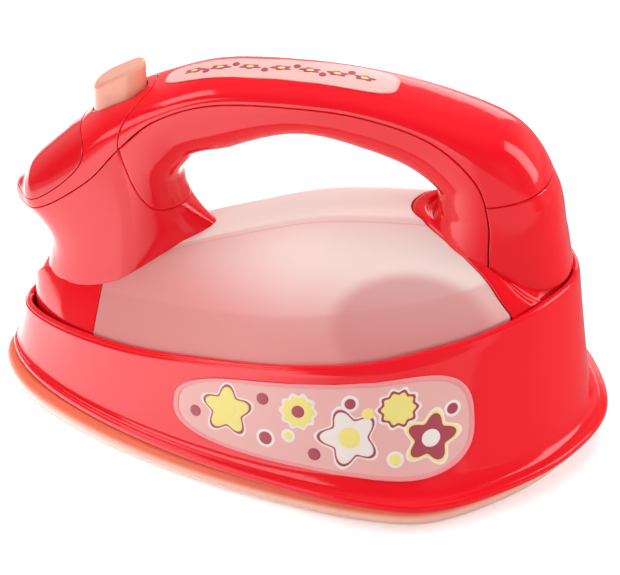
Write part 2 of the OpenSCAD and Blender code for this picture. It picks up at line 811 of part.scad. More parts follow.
module battery_box() {
    color("#2b2b2b")
    translate([box_x, 0, sole_t])
    difference() {
        translate([0, 0, (box_top - sole_t) / 2])
            cube([box_in_l + 2 * box_wall, box_in_w + 2 * box_wall, box_top - sole_t], center = true);
        translate([0, 0, (box_top - sole_t - box_wall) / 2 - over / 2])
            cube([box_in_l, box_in_w, box_top - sole_t - box_wall + over], center = true);
    }
}
module at_cells() {
    for (side = [-1, 1])
        translate([box_x, side * (cell_d + seam_gap) / 2, cell_z])
            rotate([0, side * 90, 0])
                children();
}
module cells() {
    color("#3c6fb0")
    at_cells()
        translate([0, 0, -cell_l / 2]) {
            cylinder(d = cell_d, h = cell_l - box_wall / 2);
            cylinder(d = cell_d / 3, h = cell_l);
        }
}
plate_t = box_wall / 4;
contact_wire = 0.6 * spring_wire;
module contact_springs() {
    color("silver")
    at_cells()
        translate([0, 0, -box_in_l / 2 + plate_t])
            coil(cell_d / 2, contact_wire, (box_in_l - cell_l) / 2 - plate_t - seam_gap / 3, 2);
}
module contact_plates() {
    color("silver")
    at_cells()
        for (z = [-box_in_l / 2, box_in_l / 2 - plate_t])
            translate([-cell_d / 3, -cell_d / 3, z])
                cube([cell_d * 2 / 3, cell_d * 2 / 3, plate_t]);
}
// The head of the door's screw sits just inside the door, on a ledge of its own
screw_seat = head_h + door_lift / 5;
module battery_door() {
    color("#f2a988")
    difference() {
        translate([0, 0, door_lift])
            linear_extrude(door_t)
                door_outline(0);
        translate([tab_x, 0, -over])
            cylinder(d = pass_d, h = door_z + 2 * over);
        translate([tab_x, 0, -over])
            cylinder(d = head_d + 2 * seam_gap, h = screw_seat + over);
    }
}
module door_screw() {
    color("silver")
    translate([tab_x, 0, 0])
        screw(screw_seat - head_h, sole_t - 3 * door_lift - head_h);
}

module main_board() {
    color("#2f7d3c")
    translate([board_x - board_l / 2, -board_w / 2, board_z])
        cube([board_l, board_w, board_t]);
}
chip_s = board_w / 4;
module board_chips() {
    color("#202020")
    translate([board_x, 0, board_z + board_t]) {
        translate([-board_l / 4, 0, 0])
            cube([chip_s, chip_s, chip_s / 4]);
        translate([-board_l / 4, -board_w / 4, 0])
            cylinder(d = chip_s * 0.7, h = chip_s);
        translate([board_l / 8, -board_w / 3, 0])
            cube([chip_s / 2, chip_s / 4, chip_s / 4]);
    }
}
module lamps() {
    color("#ffe6d0")
    for (x = [-1, 1])
        translate([board_x + x * board_l / 3, board_w / 4, board_z + board_t]) {
            cylinder(d = lamp_d, h = lamp_d * 1.4);
            translate([0, 0, lamp_d * 1.4])
                sphere(d = lamp_d);
        }
}
module speaker_ring() {
    color("#2b2b2b")
    translate([speaker_x, 0, box_top])
        tube(speaker_d + 2 * speaker_wall + seam_gap, speaker_d + seam_gap, speaker_h);
}
module loudspeaker() {
    color("#4a4a4a")
    translate([speaker_x, 0, box_top])
        rotate_extrude()
            polygon([
                [0, 0], [speaker_d / 4, 0], [speaker_d / 4, speaker_h / 2],
                [speaker_d / 2, speaker_h - box_wall], [speaker_d / 2, speaker_h],
                [speaker_d * 0.45, speaker_h], [speaker_d / 8, speaker_h * 0.7], [0, speaker_h * 0.75]
            ]);
}

soleplate();
body_shell();
front_shoulder();
tank_dome();
rear_saddle();
front_neck();
nose_cap();
button_collar();
handle_top_cover();
handle_lower_shell();
rear_column();
push_button();
button_spring();
switch_plunger();
switch_body();
switch_board();
handle_label();
near_side_label();
far_side_label();
battery_box();
cells();
contact_springs();
contact_plates();
battery_door();
door_screw();
main_board();
board_chips();
lamps();
loudspeaker();
speaker_ring();
sole_screws();
handle_screws();
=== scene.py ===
# Toy iron in glossy red plastic: shells, dome, button, labels and peach sole around the CAD frame.
# Lengths in the settings are millimetres, as in the part; meshes are made in metres.
import math
import bpy
import bmesh
import numpy as np
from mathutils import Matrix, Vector


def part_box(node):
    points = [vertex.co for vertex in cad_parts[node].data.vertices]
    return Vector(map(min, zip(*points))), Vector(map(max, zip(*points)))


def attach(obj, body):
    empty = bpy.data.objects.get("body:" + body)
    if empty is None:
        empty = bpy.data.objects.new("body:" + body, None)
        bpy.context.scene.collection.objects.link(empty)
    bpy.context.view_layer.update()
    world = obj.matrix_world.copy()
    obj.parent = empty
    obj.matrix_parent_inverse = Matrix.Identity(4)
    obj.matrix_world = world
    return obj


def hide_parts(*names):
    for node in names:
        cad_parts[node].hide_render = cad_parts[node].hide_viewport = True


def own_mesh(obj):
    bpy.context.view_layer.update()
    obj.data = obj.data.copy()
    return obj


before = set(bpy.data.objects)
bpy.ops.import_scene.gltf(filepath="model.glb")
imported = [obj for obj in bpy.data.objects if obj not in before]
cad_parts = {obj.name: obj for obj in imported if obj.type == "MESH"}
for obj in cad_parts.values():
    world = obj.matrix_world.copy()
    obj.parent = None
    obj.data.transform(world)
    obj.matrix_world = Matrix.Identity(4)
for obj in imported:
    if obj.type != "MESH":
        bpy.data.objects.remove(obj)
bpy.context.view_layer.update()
print("frame loaded:", len(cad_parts), "nodes")

mm = 0.001

# The object's own sizes, the same as in the part
iron = {
    "soleLength": 184.0, "soleWidth": 120.0, "soleThick": 7.0, "flangeOut": 4.8,
    "flangeThick": 2.6, "flangeLedge": 4.6, "rimWidth": 98.0, "rimHeight": 60.0,
    "bodyWall": 2.2, "crestHeight": 73.509, "domeWall": 1.8, "domeTuck": 5.0, "ridgeWidth": 17.0,
    "domeGap": 0.6, "domeLeast": 0.7, "handleHeight": 114.5, "gripWidth": 25.0,
    "gripThick": 20.0, "handleWall": 2.0, "seamGap": 0.3, "partLine": 0.14,
}
ironLength = iron["soleLength"] + iron["flangeOut"]
noseX = -ironLength / 2
footZ = iron["soleThick"] + iron["seamGap"] + iron["flangeThick"]
tankIn = iron["bodyWall"] + iron["domeGap"]

# Half outlines from nose to rear: share of the sole's length, share of half the width
soleOutline = np.array([
    [0, 0], [0.016, 0.17], [0.065, 0.36], [0.147, 0.54], [0.266, 0.72], [0.408, 0.87],
    [0.549, 0.96], [0.679, 1], [0.788, 0.95], [0.886, 0.71], [0.962, 0.39], [1, 0]])
rimOutline = np.array([
    [0.038, 0], [0.052, 0.165], [0.098, 0.35], [0.174, 0.56], [0.283, 0.755], [0.413, 0.91],
    [0.543, 1], [0.668, 0.97], [0.766, 0.86], [0.853, 0.69], [0.929, 0.38], [0.967, 0]])
rimHeights = np.array([
    0.4, 0.425, 0.46, 0.517, 0.578, 0.663, 0.733, 0.787, 0.85, 0.905, 0.945, 0.96])
crestHeights = np.array([
    0.34, 0.475, 0.54, 0.6, 0.715, 0.84, 0.95, 0.993, 0.998, 0.945, 0.86, 0.8])
flangeReach = np.array([-0.5, -0.5, -0.45, -0.3, -0.15, 0, 0.2, 0.42, 0.65, 0.78, 0.92, 1])
lastPlace = len(soleOutline) - 1
# Handle rows: along, up, height above and below the seam, half width, all as shares
handleRows = np.array([
    [-0.938, 0.553, 0.05, 0.045, 0.09], [-0.865, 0.555, 0.44, 0.18, 0.92],
    [-0.782, 0.588, 0.6, 0.3, 1.16], [-0.645, 0.682, 0.66, 0.48, 1.24],
    [-0.547, 0.782, 0.54, 0.92, 1.2], [-0.432, 0.872, 0.3, 0.9, 1.12],
    [-0.253, 0.933, 0.26, 0.95, 1.04], [0, 0.95, 0.28, 0.65, 1],
    [0.225, 0.943, 0.28, 0.735, 1], [0.432, 0.9, 0.36, 0.8, 1.08],
    [0.572, 0.81, 0.71, 0.79, 1.22], [0.618, 0.705, 0.9, 0.86, 1.3],
    [0.624, 0.603, 0.95, 0.95, 1.34], [0.63, 0.5, 0.95, 0.98, 1.36]])
# Places where pieces end, counted in rows of the outline or the handle, and what bends the curves
ends = {
    "cap": 3.5, "collarTop": 5.0, "neck": 4.0, "cover": 10.65, "column": 13.0,
    "shoulderFrom": 0.62, "shoulderTo": 3.15, "ridge": 0.25, "fall": 1.18, "section": 0.82,
    "seamTurn": 0.1, "columnLow": 10.7, "columnHigh": 10.9, "flare": 2.9, "flarePower": 1.4,
    "lean": 0.8, "ledgeFront": 0.2, "saddleSoft": 0.06, "insetMost": 0.6,
}
# Front edge of the saddle: share of the way across, place along the outline
saddleEdge = np.array([
    [0, 7.27], [0.125, 7.33], [0.25, 7.53], [0.375, 8.06], [0.5, 8.6],
    [0.625, 8.95], [0.75, 9.15], [0.875, 9.33], [1, 9.48]])


def splineRows(rows, before, after, place):
    # Smooth curve through rows: a cubic between each two, whose slope at a row is half the
    # step between the row's neighbours.
    ext = np.vstack([np.atleast_2d(before), rows, np.atleast_2d(after)])
    i = np.clip(np.floor(place).astype(int), 0, len(rows) - 2)
    t = (place - i)[..., None]
    a, b, c, d = ext[i], ext[i + 1], ext[i + 2], ext[i + 3]
    return (b + (c - a) * t / 2 + (2 * a - 5 * b + 4 * c - d) * t ** 2 / 2
            + (3 * b - a - 3 * c + d) * t ** 3 / 2)


def openCurve(rows, place):
    # The same curve with its ends carried on straight.
    rows = rows.reshape(len(rows), -1)
    before, after = 2 * rows[0] - rows[1], 2 * rows[-1] - rows[-2]
    return splineRows(rows, before, after, np.asarray(place, float))


def mix(a, b, t):
    # Straight from a at 0 to b at 1.
    return a + (b - a) * t


def planAt(outline, width, u):
    # The same curve, meeting its mirror image squarely at the nose and at the rear, in plan.
    flip = np.array([1, -1])
    p = splineRows(outline, outline[1] * flip, outline[-2] * flip, np.asarray(u, float))
    return np.stack([noseX + p[..., 0] * iron["soleLength"], p[..., 1] * width / 2], -1)


def soleAt(u):
    return planAt(soleOutline, iron["soleWidth"], u)


def rimAt(u):
    return planAt(rimOutline, iron["rimWidth"], u)


def rimZ(u):
    # Height of the body's rim.
    return openCurve(rimHeights, u)[..., 0] * iron["rimHeight"]


def crestZ(u):
    # Height of the upper surface along its ridge.
    return openCurve(crestHeights, u)[..., 0] * iron["crestHeight"]


def outDir(u):
    # Unit normal of the sole's outline in plan, straight out at the nose and at the rear.
    step = 0.02
    v = soleAt(np.minimum(u + step, lastPlace)) - soleAt(np.maximum(u - step, 0))
    n = np.stack([-v[..., 1], v[..., 0]], -1)
    n /= np.linalg.norm(n, axis=-1, keepdims=True)
    u = u[..., None]
    return np.where(u < step, [-1.0, 0.0], np.where(u > lastPlace - step, [1.0, 0.0], n))


def flangeOff(u):
    # How far the flange reaches out past the sole's outline.
    return openCurve(flangeReach, u)[..., 0] * iron["flangeOut"]


def footOff(u):
    # Foot of the body wall: inside the flange by a ledge that widens evenly to the rear.
    return flangeOff(u) - iron["flangeLedge"] * mix(ends["ledgeFront"], 1, u / lastPlace)


def wallAt(u, t, inset):
    # Body wall: foot outline mixed into rim outline by a power of the height.
    u, t, inset = np.broadcast_arrays(u, t, inset)
    foot = soleAt(u) + outDir(u) * (footOff(u) - inset)[..., None]
    rim = rimAt(u) - outDir(u) * inset[..., None]
    p = mix(foot, rim, (t ** ends["lean"])[..., None])
    return np.concatenate([p, mix(footZ, rimZ(u), t)[..., None]], -1)


def ringAt(u, off, z):
    # Point of the sole's outline moved out by off, at height z.
    p = soleAt(u) + outDir(u) * np.broadcast_to(off, u.shape)[..., None]
    return np.concatenate([p, np.broadcast_to(z, u.shape)[..., None]], -1)


def mirrorLoop(row, side):
    # A row worked out on the near side, flipped where the loop comes back up the far side.
    row = row.copy()
    row[..., 1] *= side
    return row


def around(count):
    # Places of a whole loop: down the near side from the nose, and back up the far side.
    k = np.arange(count) * 2 * lastPlace / count
    return np.where(k <= lastPlace, k, 2 * lastPlace - k), np.where(k <= lastPlace, -1.0, 1.0)


def tankHalf(u):
    # Half the width of the upper surface: the rim's, less the wall and a gap.
    return np.maximum(rimAt(u)[..., 1] - tankIn, iron["domeLeast"])


def tankX(u):
    # Along the iron it is drawn in by the same at both ends, and evenly between them.
    return rimAt(u)[..., 0] + tankIn * mix(1, -1, u / lastPlace)


def ridgeHalf(u):
    # The ridge keeps its width until the surface is narrower than that.
    return np.minimum(iron["ridgeWidth"], tankHalf(u)) / 2


def crownZ(u, y):
    # From the ridge down to the rim: nothing on the ridge, then a power of the way out.
    r = ridgeHalf(u)
    out = np.maximum(0, np.abs(y) - r) / (tankHalf(u) - r)
    return mix(crestZ(u), rimZ(u) - iron["domeGap"], np.minimum(1, out) ** ends["fall"])


def acrossY(u, v):
    # Evenly over the ridge, and evenly from there to the rim.
    e, r = ends["ridge"], ridgeHalf(u)
    side = mix(r, tankHalf(u), (np.abs(v) - e) / (1 - e))
    return np.where(np.abs(v) < e, v / e * r, np.sign(v) * side)


placeTable = np.arange(0, lastPlace + 0.01, 0.25)
placeX = tankX(placeTable)


def crownOver(x, y):
    # Height of the upper surface over a point in plan.
    return crownZ(np.interp(x, placeX, placeTable), y)


def saddlePlace(v):
    # The table's steps are eased into one another by a mean over a short stretch.
    near = np.abs(v)[..., None] + np.linspace(-ends["saddleSoft"], ends["saddleSoft"], 7)
    return np.interp(np.abs(near), saddleEdge[:, 0], saddleEdge[:, 1]).mean(-1)


def seamLine(u):
    # Curve through the first two columns of the handle's rows, along and up.
    r = openCurve(handleRows, u)
    return np.stack([r[..., 0] * ironLength / 2, r[..., 1] * iron["handleHeight"]], -1)


def easedPlace(u):
    # The first stretch starts slowly along the seam while its section grows: a round nose.
    return np.where(u < 1, u * u * (2 - u), u)


def seamNormal(u):
    # Unit normal of the seam line, from the step between two places beside this one.
    e, step = easedPlace(u), 0.05
    v = seamLine(e + step) - seamLine(e - step)
    n = np.stack([-v[..., 1], v[..., 0]], -1)
    return n / np.linalg.norm(n, axis=-1, keepdims=True)


def rounded(c):
    # A sine or cosine to the section's power turns a circle into a superellipse.
    return np.sign(c) * np.abs(c) ** ends["section"]


def handleAt(u, a, inset=0.0):
    # Handle surface: a superellipse section about the seam line, a in degrees, 90 on top. The
    # rear of the column spreads towards the rim by a power of the way down.
    u, a, inset = np.broadcast_arrays(np.asarray(u, float), np.asarray(a, float), inset)
    r = openCurve(handleRows, u)
    p, n = seamLine(easedPlace(u)), seamNormal(u)
    s, c = np.sin(np.radians(a)), np.cos(np.radians(a))
    s = np.where(np.abs(s) < 1e-9, 0, s)
    h = np.where(s >= 0, r[..., 2], r[..., 3]) * iron["gripThick"]
    w = r[..., 4] * iron["gripWidth"] / 2
    inset = np.minimum(inset, ends["insetMost"] * np.minimum(h, w))
    h, w = h - inset, w - inset
    lift = h * rounded(s) + np.sign(s) * iron["partLine"] / 2
    down = np.maximum(u - ends["cover"], 0) / (ends["column"] - ends["cover"])
    flare = ends["flare"] * down ** ends["flarePower"] * np.maximum(s, 0)
    x = p[..., 0] + n[..., 0] * lift + flare
    return np.stack([x, -w * rounded(c), p[..., 1] + n[..., 1] * lift], -1)


def placed(name, data):
    # A mesh, a lamp or a camera becomes an object in the scene.
    obj = bpy.data.objects.new(name, data)
    bpy.context.scene.collection.objects.link(obj)
    return obj


def newMesh(name, points, faces):
    # Millimetre points and faces become a mesh in metres.
    mesh = bpy.data.meshes.new(name)
    points = np.asarray(points).reshape(-1, 3) * mm
    mesh.from_pydata(points.tolist(), [], [list(f) for f in faces])
    return mesh


def makeMesh(name, points, faces, body, slot, material, node=None):
    # A closed mesh with its faces turned outwards, which rides on its body and may stand in for
    # a node of the frame.
    mesh = newMesh(name, points, faces)
    turned = bmesh.new()
    turned.from_mesh(mesh)
    bmesh.ops.recalc_face_normals(turned, faces=turned.faces)
    turned.to_mesh(mesh)
    turned.free()
    mesh.shade_smooth()
    mesh.materials.append(material)
    obj = placed(name, mesh)
    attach(obj, body)
    if node:
        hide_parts(node)
    return obj


def gridFaces(rows, cols, closeRows=False, closeCols=False, start=0):
    # Quads between neighbouring points of a grid, wrapped round where it is closed.
    i = np.arange(rows if closeRows else rows - 1)[:, None]
    j = np.arange(cols if closeCols else cols - 1)[None, :]
    ii, jj = (i + 1) % rows, (j + 1) % cols
    corners = (i * cols + j, i * cols + jj, ii * cols + jj, ii * cols + j)
    return np.stack(np.broadcast_arrays(*corners), -1).reshape(-1, 4) + start


def closedFaces(points):
    return gridFaces(*points.shape[:2], closeRows=True, closeCols=True)


def cappedFaces(rows, cols):
    # Rings one after another, with a face over the first and a face over the last.
    faces = [list(f) for f in gridFaces(rows, cols, closeCols=True)]
    return faces + [list(range(cols))[::-1], list(range((rows - 1) * cols, rows * cols))]


def patchSolid(outer, inner):
    # Closed solid between two grids: both grids, and a wall round their border.
    n, m = outer.shape[:2]
    top = gridFaces(n, m)
    low = top[:, ::-1] + n * m
    border = np.concatenate([
        np.arange(m - 1), np.arange(n - 1) * m + m - 1,
        (n - 1) * m + np.arange(m - 1, 0, -1), np.arange(n - 1, 0, -1) * m])
    nxt = np.roll(border, -1)
    wall = np.stack([border, border + n * m, nxt + n * m, nxt], -1)
    points = np.concatenate([outer.reshape(-1, 3), inner.reshape(-1, 3)])
    return points, np.concatenate([top, low, wall])


def poleSolid(rows):
    # Closed surface of rings between a first and a last single point.
    first, last, mid = rows[0][:1], rows[-1][:1], np.stack(rows[1:-1])
    n, m = mid.shape[:2]
    k = np.arange(m)
    ahead, base = (k + 1) % m, 1 + (n - 1) * m
    faces = [*gridFaces(n, m, closeCols=True, start=1), *np.stack([0 * k, 1 + ahead, 1 + k], -1),
             *np.stack([0 * k + 1 + n * m, base + k, base + ahead], -1)]
    return np.concatenate([first, mid.reshape(-1, 3), last]), faces


def edgeSteps(radius, count=5):
    # Distances from an edge at which a quarter round of that radius has equal turns.
    return radius * (1 - np.sin(np.linspace(math.pi / 2, 0, count)))


def edgedSteps(radius, length, count):
    # Shares of a length from 0 to 1, with extra ones where its two ends are rounded off.
    near = edgeSteps(radius)[:, None] / length
    inner = np.linspace(0, 1, count)[1:-1, None]
    return np.concatenate([near, near[-1] + (1 - 2 * near[-1]) * inner, 1 - near[::-1]])


def roundOff(away, radius):
    # Fall of a quarter circle of that radius, at a distance from its edge.
    return radius * (1 - np.sqrt(1 - np.clip(1 - away / radius, 0, 1) ** 2))


def shellGrid(rows, cols, radius, lengthRows, lengthCols):
    # Grid over the unit square with extra lines near its four edges. The inset rounds an edge
    # off: a quarter circle falls away over the last radius, and corners use both distances.
    extra = 2 * len(edgeSteps(radius)) - 2

    def stretched(lengths, count):
        spots = np.linspace(0, 1, len(lengths))
        return np.interp(np.linspace(0, 1, count + extra), spots, lengths)

    runs, widths = stretched(lengthRows, cols), stretched(lengthCols, rows)
    s, t = edgedSteps(radius, runs, rows), edgedSteps(radius, widths, cols).T
    widths = widths[:, None]
    away = (s * runs, (1 - s) * runs, t * widths, (1 - t) * widths)
    q = [np.clip(1 - x / radius, 0, 1) for x in away]
    both = np.minimum(1, np.maximum(q[0], q[1]) ** 2 + np.maximum(q[2], q[3]) ** 2)
    return s, t, radius * (1 - np.sqrt(1 - both))


def pathLength(points, axis):
    # Length of each line of points along that axis.
    return np.linalg.norm(np.diff(points, axis=axis), axis=-1).sum(axis=axis)


def addNode(tree, kind, **values):
    node = tree.nodes.new(kind)
    for key, value in values.items():
        setattr(node, key, value)
    return node


def ranged(tree, source, span, values):
    # The source eased from the first value at the span's start to the second value at its end
    node = addNode(tree, "ShaderNodeMapRange", interpolation_type="SMOOTHSTEP")
    for socket, value in zip(("From Min", "From Max", "To Min", "To Max"), (*span, *values)):
        node.inputs[socket].default_value = value
    tree.links.new(source, node.inputs["Value"])
    return node.outputs["Result"]


def combined(tree, operation, *values):
    # A Math node on sockets and plain numbers
    node = addNode(tree, "ShaderNodeMath", operation=operation)
    for socket, value in zip(node.inputs, values):
        if isinstance(value, (int, float)):
            socket.default_value = value
        else:
            tree.links.new(value, socket)
    return node.outputs[0]


def painted(tree, under, mask, over):
    # The colour over what is under it, as far as the mask says
    node = addNode(tree, "ShaderNodeMix", data_type="RGBA")
    tree.links.new(mask, node.inputs["Factor"])
    tree.links.new(under, node.inputs["A"])
    node.inputs["B"].default_value = (*over, 1)
    return node.outputs["Result"]


def newGroup(name, inputs, outputs):
    group = bpy.data.node_groups.new(name, "ShaderNodeTree")
    for label, kind, value in inputs:
        socket = group.interface.new_socket(name=label, in_out="INPUT", socket_type=kind)
        socket.default_value = value
    for label, kind in outputs:
        group.interface.new_socket(name=label, in_out="OUTPUT", socket_type=kind)
    return group, group.nodes.new("NodeGroupInput"), group.nodes.new("NodeGroupOutput")


plasticView = {"driftDetail": 2.0, "rubScale": 60.0, "rubDetail": 4.0, "peelDetail": 1.0,
               "peel": 0.02, "peelDepth": 0.001, "coatRoughness": 0.06}


def mouldedPlasticGroup():
    # Moulded plastic: slow drift of colour, a faint orange-peel relief and fine rubbed marks.
    number, colour = "NodeSocketFloat", "NodeSocketColor"
    group, given, result = newGroup("mouldedPlastic", [
        ("Color", colour, (0.8, 0.1, 0.1, 1)), ("Deep Color", colour, (0.5, 0.02, 0.02, 1)),
        ("Drift Scale", number, 14.0), ("Drift", number, 0.35), ("Roughness", number, 0.2),
        ("Rub", number, 0.08), ("Peel Scale", number, 420.0)],
        [("Color", colour), ("Roughness", number), ("Height", number)])
    values, link = given.outputs, group.links.new
    coords = addNode(group, "ShaderNodeTexCoord")

    def noise(detail):
        node = addNode(group, "ShaderNodeTexNoise")
        node.inputs["Detail"].default_value = detail
        link(coords.outputs["Object"], node.inputs["Vector"])
        return node

    drift, rub = noise(plasticView["driftDetail"]), noise(plasticView["rubDetail"])
    peel = noise(plasticView["peelDetail"])
    rub.inputs["Scale"].default_value = plasticView["rubScale"]
    link(values["Drift Scale"], drift.inputs["Scale"])
    link(values["Peel Scale"], peel.inputs["Scale"])
    blend = addNode(group, "ShaderNodeMix", data_type="RGBA")
    amount = combined(group, "MULTIPLY", drift.outputs["Fac"], values["Drift"])
    link(amount, blend.inputs["Factor"])
    link(values["Color"], blend.inputs["A"])
    link(values["Deep Color"], blend.inputs["B"])
    rough = combined(group, "MULTIPLY_ADD", rub.outputs["Fac"], values["Rub"], values["Roughness"])
    link(blend.outputs["Result"], result.inputs["Color"])
    link(rough, result.inputs["Roughness"])
    link(peel.outputs["Fac"], result.inputs["Height"])
    return group


plasticGroup = mouldedPlasticGroup()


def plastic(name, color, deep, roughness=0.2, rub=0.04, drift=0.35, driftScale=14.0,
            peelScale=420.0, coat=0.0, metallic=0.0, transmission=0.0, ior=1.46):
    # A material of the moulded plastic, with its plain values on the shader's own sockets
    material = bpy.data.materials.new(name)
    material.use_nodes = True
    tree = material.node_tree
    shader = tree.nodes["Principled BSDF"]
    group = addNode(tree, "ShaderNodeGroup")
    group.node_tree = plasticGroup
    bump = addNode(tree, "ShaderNodeBump")
    for node, values in (
            (group, {"Color": (*color, 1), "Deep Color": (*deep, 1), "Drift Scale": driftScale,
                     "Drift": drift, "Roughness": roughness, "Rub": rub, "Peel Scale": peelScale}),
            (bump, {"Strength": plasticView["peel"], "Distance": plasticView["peelDepth"]}),
            (shader, {"Coat Weight": coat, "Coat Roughness": plasticView["coatRoughness"],
                      "Metallic": metallic, "Transmission Weight": transmission, "IOR": ior})):
        for key, value in values.items():
            node.inputs[key].default_value = value
    tree.links.new(group.outputs["Color"], shader.inputs["Base Color"])
    tree.links.new(group.outputs["Roughness"], shader.inputs["Roughness"])
    tree.links.new(group.outputs["Height"], bump.inputs["Height"])
    tree.links.new(bump.outputs["Normal"], shader.inputs["Normal"])
    return material


def axesOf(tree, kind, output):
    # X, Y and Z of the position that a new node of that kind gives
    where, axes = addNode(tree, kind), addNode(tree, "ShaderNodeSeparateXYZ")
    tree.links.new(where.outputs[output], axes.inputs["Vector"])
    return axes.outputs


def layersOf(material):
    # The material's node tree, its shader, its own colour and the piece's axes
    tree = material.node_tree
    shader = tree.nodes["Principled BSDF"]
    group = next(n for n in tree.nodes if n.bl_idname == "ShaderNodeGroup")
    return tree, shader, group.outputs["Color"], axesOf(tree, "ShaderNodeTexCoord", "Object")


# Heights and widths on the dome are in metres here. Its colours hold painted light and shade. Each
# round of painted shade: its middle, its radius, half of its soft edge and its shade.
domeView = {
    "plastic": {"roughness": 0.34, "rub": 0.05, "drift": 0.5, "driftScale": 9.0,
                "transmission": 0.15},
    "side": (0.84, 0.33, 0.31), "sideDeep": (0.78, 0.27, 0.27), "pale": (0.99, 0.83, 0.78),
    "paleFrom": 0.046, "paleTo": 0.068, "roundShade": (0.62, 0.17, 0.18),
    "rounds": (((0.0287, 0.0355, 0.0530), 0.0168, 0.0025, 0.6),), "roundStretch": 0.7,
    "case": (0.72, 0.27, 0.25), "ledge": 0.0507, "ledgeRise": 0.193, "ledgeSoft": 0.0012,
    "ledgeFade": 0.014, "ledgeShade": 0.45, "ledgeLeast": 0.25, "ridgePale": (1.0, 0.97, 0.90),
    "ridge": 0.0085, "ridgeSoft": 0.0006, "lineOff": 0.0013, "lineHalf": 0.0004,
    "lineShade": 0.45}


def makeDomeMaterial(name, view):
    # Frosted plastic with painted light and shade: pale above where the light falls, pinker down
    # its sides, with painted shade for the soft dark round of the loudspeaker and the ledge of the
    # inner case behind it.
    material = plastic(name, view["side"], view["sideDeep"], **view["plastic"])
    tree, shader, color, axes = layersOf(material)
    high = axes["Z"]
    far = combined(tree, "ABSOLUTE", axes["Y"], 0.0)
    # Painted light: paler towards the top, where the light falls
    pale = ranged(tree, high, (view["paleFrom"], view["paleTo"]), (0.0, 1.0))
    color = painted(tree, color, pale, view["pale"])
    # Painted shade of the loudspeaker behind: rounds drawn out along the iron, the same on both
    # sides
    for spot, radius, soft, shade in view["rounds"]:
        flat = addNode(tree, "ShaderNodeCombineXYZ")
        along = combined(tree, "MULTIPLY", axes["X"], view["roundStretch"])
        for socket, value in zip(flat.inputs, (along, far, high)):
            tree.links.new(value, socket)
        gapTo = addNode(tree, "ShaderNodeVectorMath", operation="DISTANCE")
        tree.links.new(flat.outputs[0], gapTo.inputs[0])
        gapTo.inputs[1].default_value = spot
        mask = ranged(tree, gapTo.outputs["Value"], (radius - soft, radius + soft), (shade, 0.0))
        color = painted(tree, color, mask, view["roundShade"])
    # Painted shade of the case inside: darkest under its straight edge, which rises to the rear,
    # and fading downwards
    ledge = view["ledge"]
    rise = combined(tree, "MULTIPLY", axes["X"], view["ledgeRise"])
    above = combined(tree, "SUBTRACT", high, rise)
    edge = ranged(tree, above, (ledge, ledge + view["ledgeSoft"]), (view["ledgeShade"], 0.0))
    fade = ranged(tree, above, (ledge - view["ledgeFade"], ledge), (view["ledgeLeast"], 1.0))
    color = painted(tree, color, combined(tree, "MULTIPLY", edge, fade), view["case"])
    # The ridge is paler, its own tone lifted by painted light, with a thin line of painted shade in
    # the groove beside it
    ridge, soft = view["ridge"], view["ridgeSoft"]
    mask = ranged(tree, far, (ridge - soft, ridge + soft), (1.0, 0.0))
    color = painted(tree, color, mask, view["ridgePale"])
    line = combined(tree, "SUBTRACT", far, ridge + view["lineOff"])
    line = combined(tree, "ABSOLUTE", line, 0.0)
    mask = ranged(tree, line, (0.0, view["lineHalf"]), (view["lineShade"], 0.0))
    color = painted(tree, color, mask, view["side"])
    tree.links.new(color, shader.inputs["Base Color"])
    return material


soleView = {"plastic": {"roughness": 0.26, "ior": 1.3}, "pale": (0.96, 0.58, 0.47),
            "paleDeep": (0.93, 0.50, 0.39), "orange": (0.86, 0.17, 0.09),
            "edge": (0.0031, 0.0051)}


def makeSoleMaterial(name, view):
    # Peach plastic that is orange along its upper edge and pale below
    material = plastic(name, view["pale"], view["paleDeep"], **view["plastic"])
    tree, shader, color, axes = layersOf(material)
    color = painted(tree, color, ranged(tree, axes["Z"], view["edge"], (0.0, 1.0)), view["orange"])
    tree.links.new(color, shader.inputs["Base Color"])
    return material


redGloss = plastic("redGloss", (0.86, 0.008, 0.018), (0.77, 0.004, 0.010), roughness=0.09)
# A darker copy of the red gloss, for the nose cap: painted shade where its top looks deep red
redPaintedShade = plastic("redPaintedShade", (0.76, 0.005, 0.012), (0.65, 0.003, 0.007), roughness=0.09)
peachGloss = plastic("peachGloss", (0.94, 0.53, 0.43), (0.91, 0.45, 0.35), roughness=0.26, ior=1.3)
buttonPeach = plastic("buttonPeach", (0.92, 0.42, 0.30), (0.88, 0.34, 0.22), transmission=0.2)
labelFilm = plastic("labelFilm", (0.80, 0.43, 0.40), (0.74, 0.36, 0.34), roughness=0.3, drift=0.5)
labelRim = plastic("labelRim", (0.86, 0.30, 0.31), (0.80, 0.24, 0.25), roughness=0.28, drift=0.5)
inkRose = plastic("inkRose", (0.40, 0.055, 0.085), (0.34, 0.04, 0.065), roughness=0.32)
inkCream = plastic("inkCream", (0.84, 0.72, 0.22), (0.80, 0.62, 0.18), roughness=0.32)
inkWhite = plastic("inkWhite", (0.84, 0.74, 0.70), (0.80, 0.68, 0.64), roughness=0.32)
frosted = makeDomeMaterial("frostedDome", domeView)
greyBox = plastic("greyBox", (0.52, 0.50, 0.49), (0.42, 0.40, 0.39), roughness=0.5)
blackPlastic = plastic("blackPlastic", (0.02, 0.02, 0.02), (0.035, 0.033, 0.03), roughness=0.45)
boardGreen = plastic("boardGreen", (0.02, 0.16, 0.06), (0.015, 0.11, 0.04), roughness=0.4,
                     driftScale=120.0)
steel = plastic("steel", (0.62, 0.62, 0.64), (0.48, 0.48, 0.5), roughness=0.25, rub=0.2,
                metallic=1.0, peelScale=900.0)
cellJacket = plastic("cellJacket", (0.05, 0.10, 0.32), (0.04, 0.08, 0.25), roughness=0.25,
                     coat=0.3)
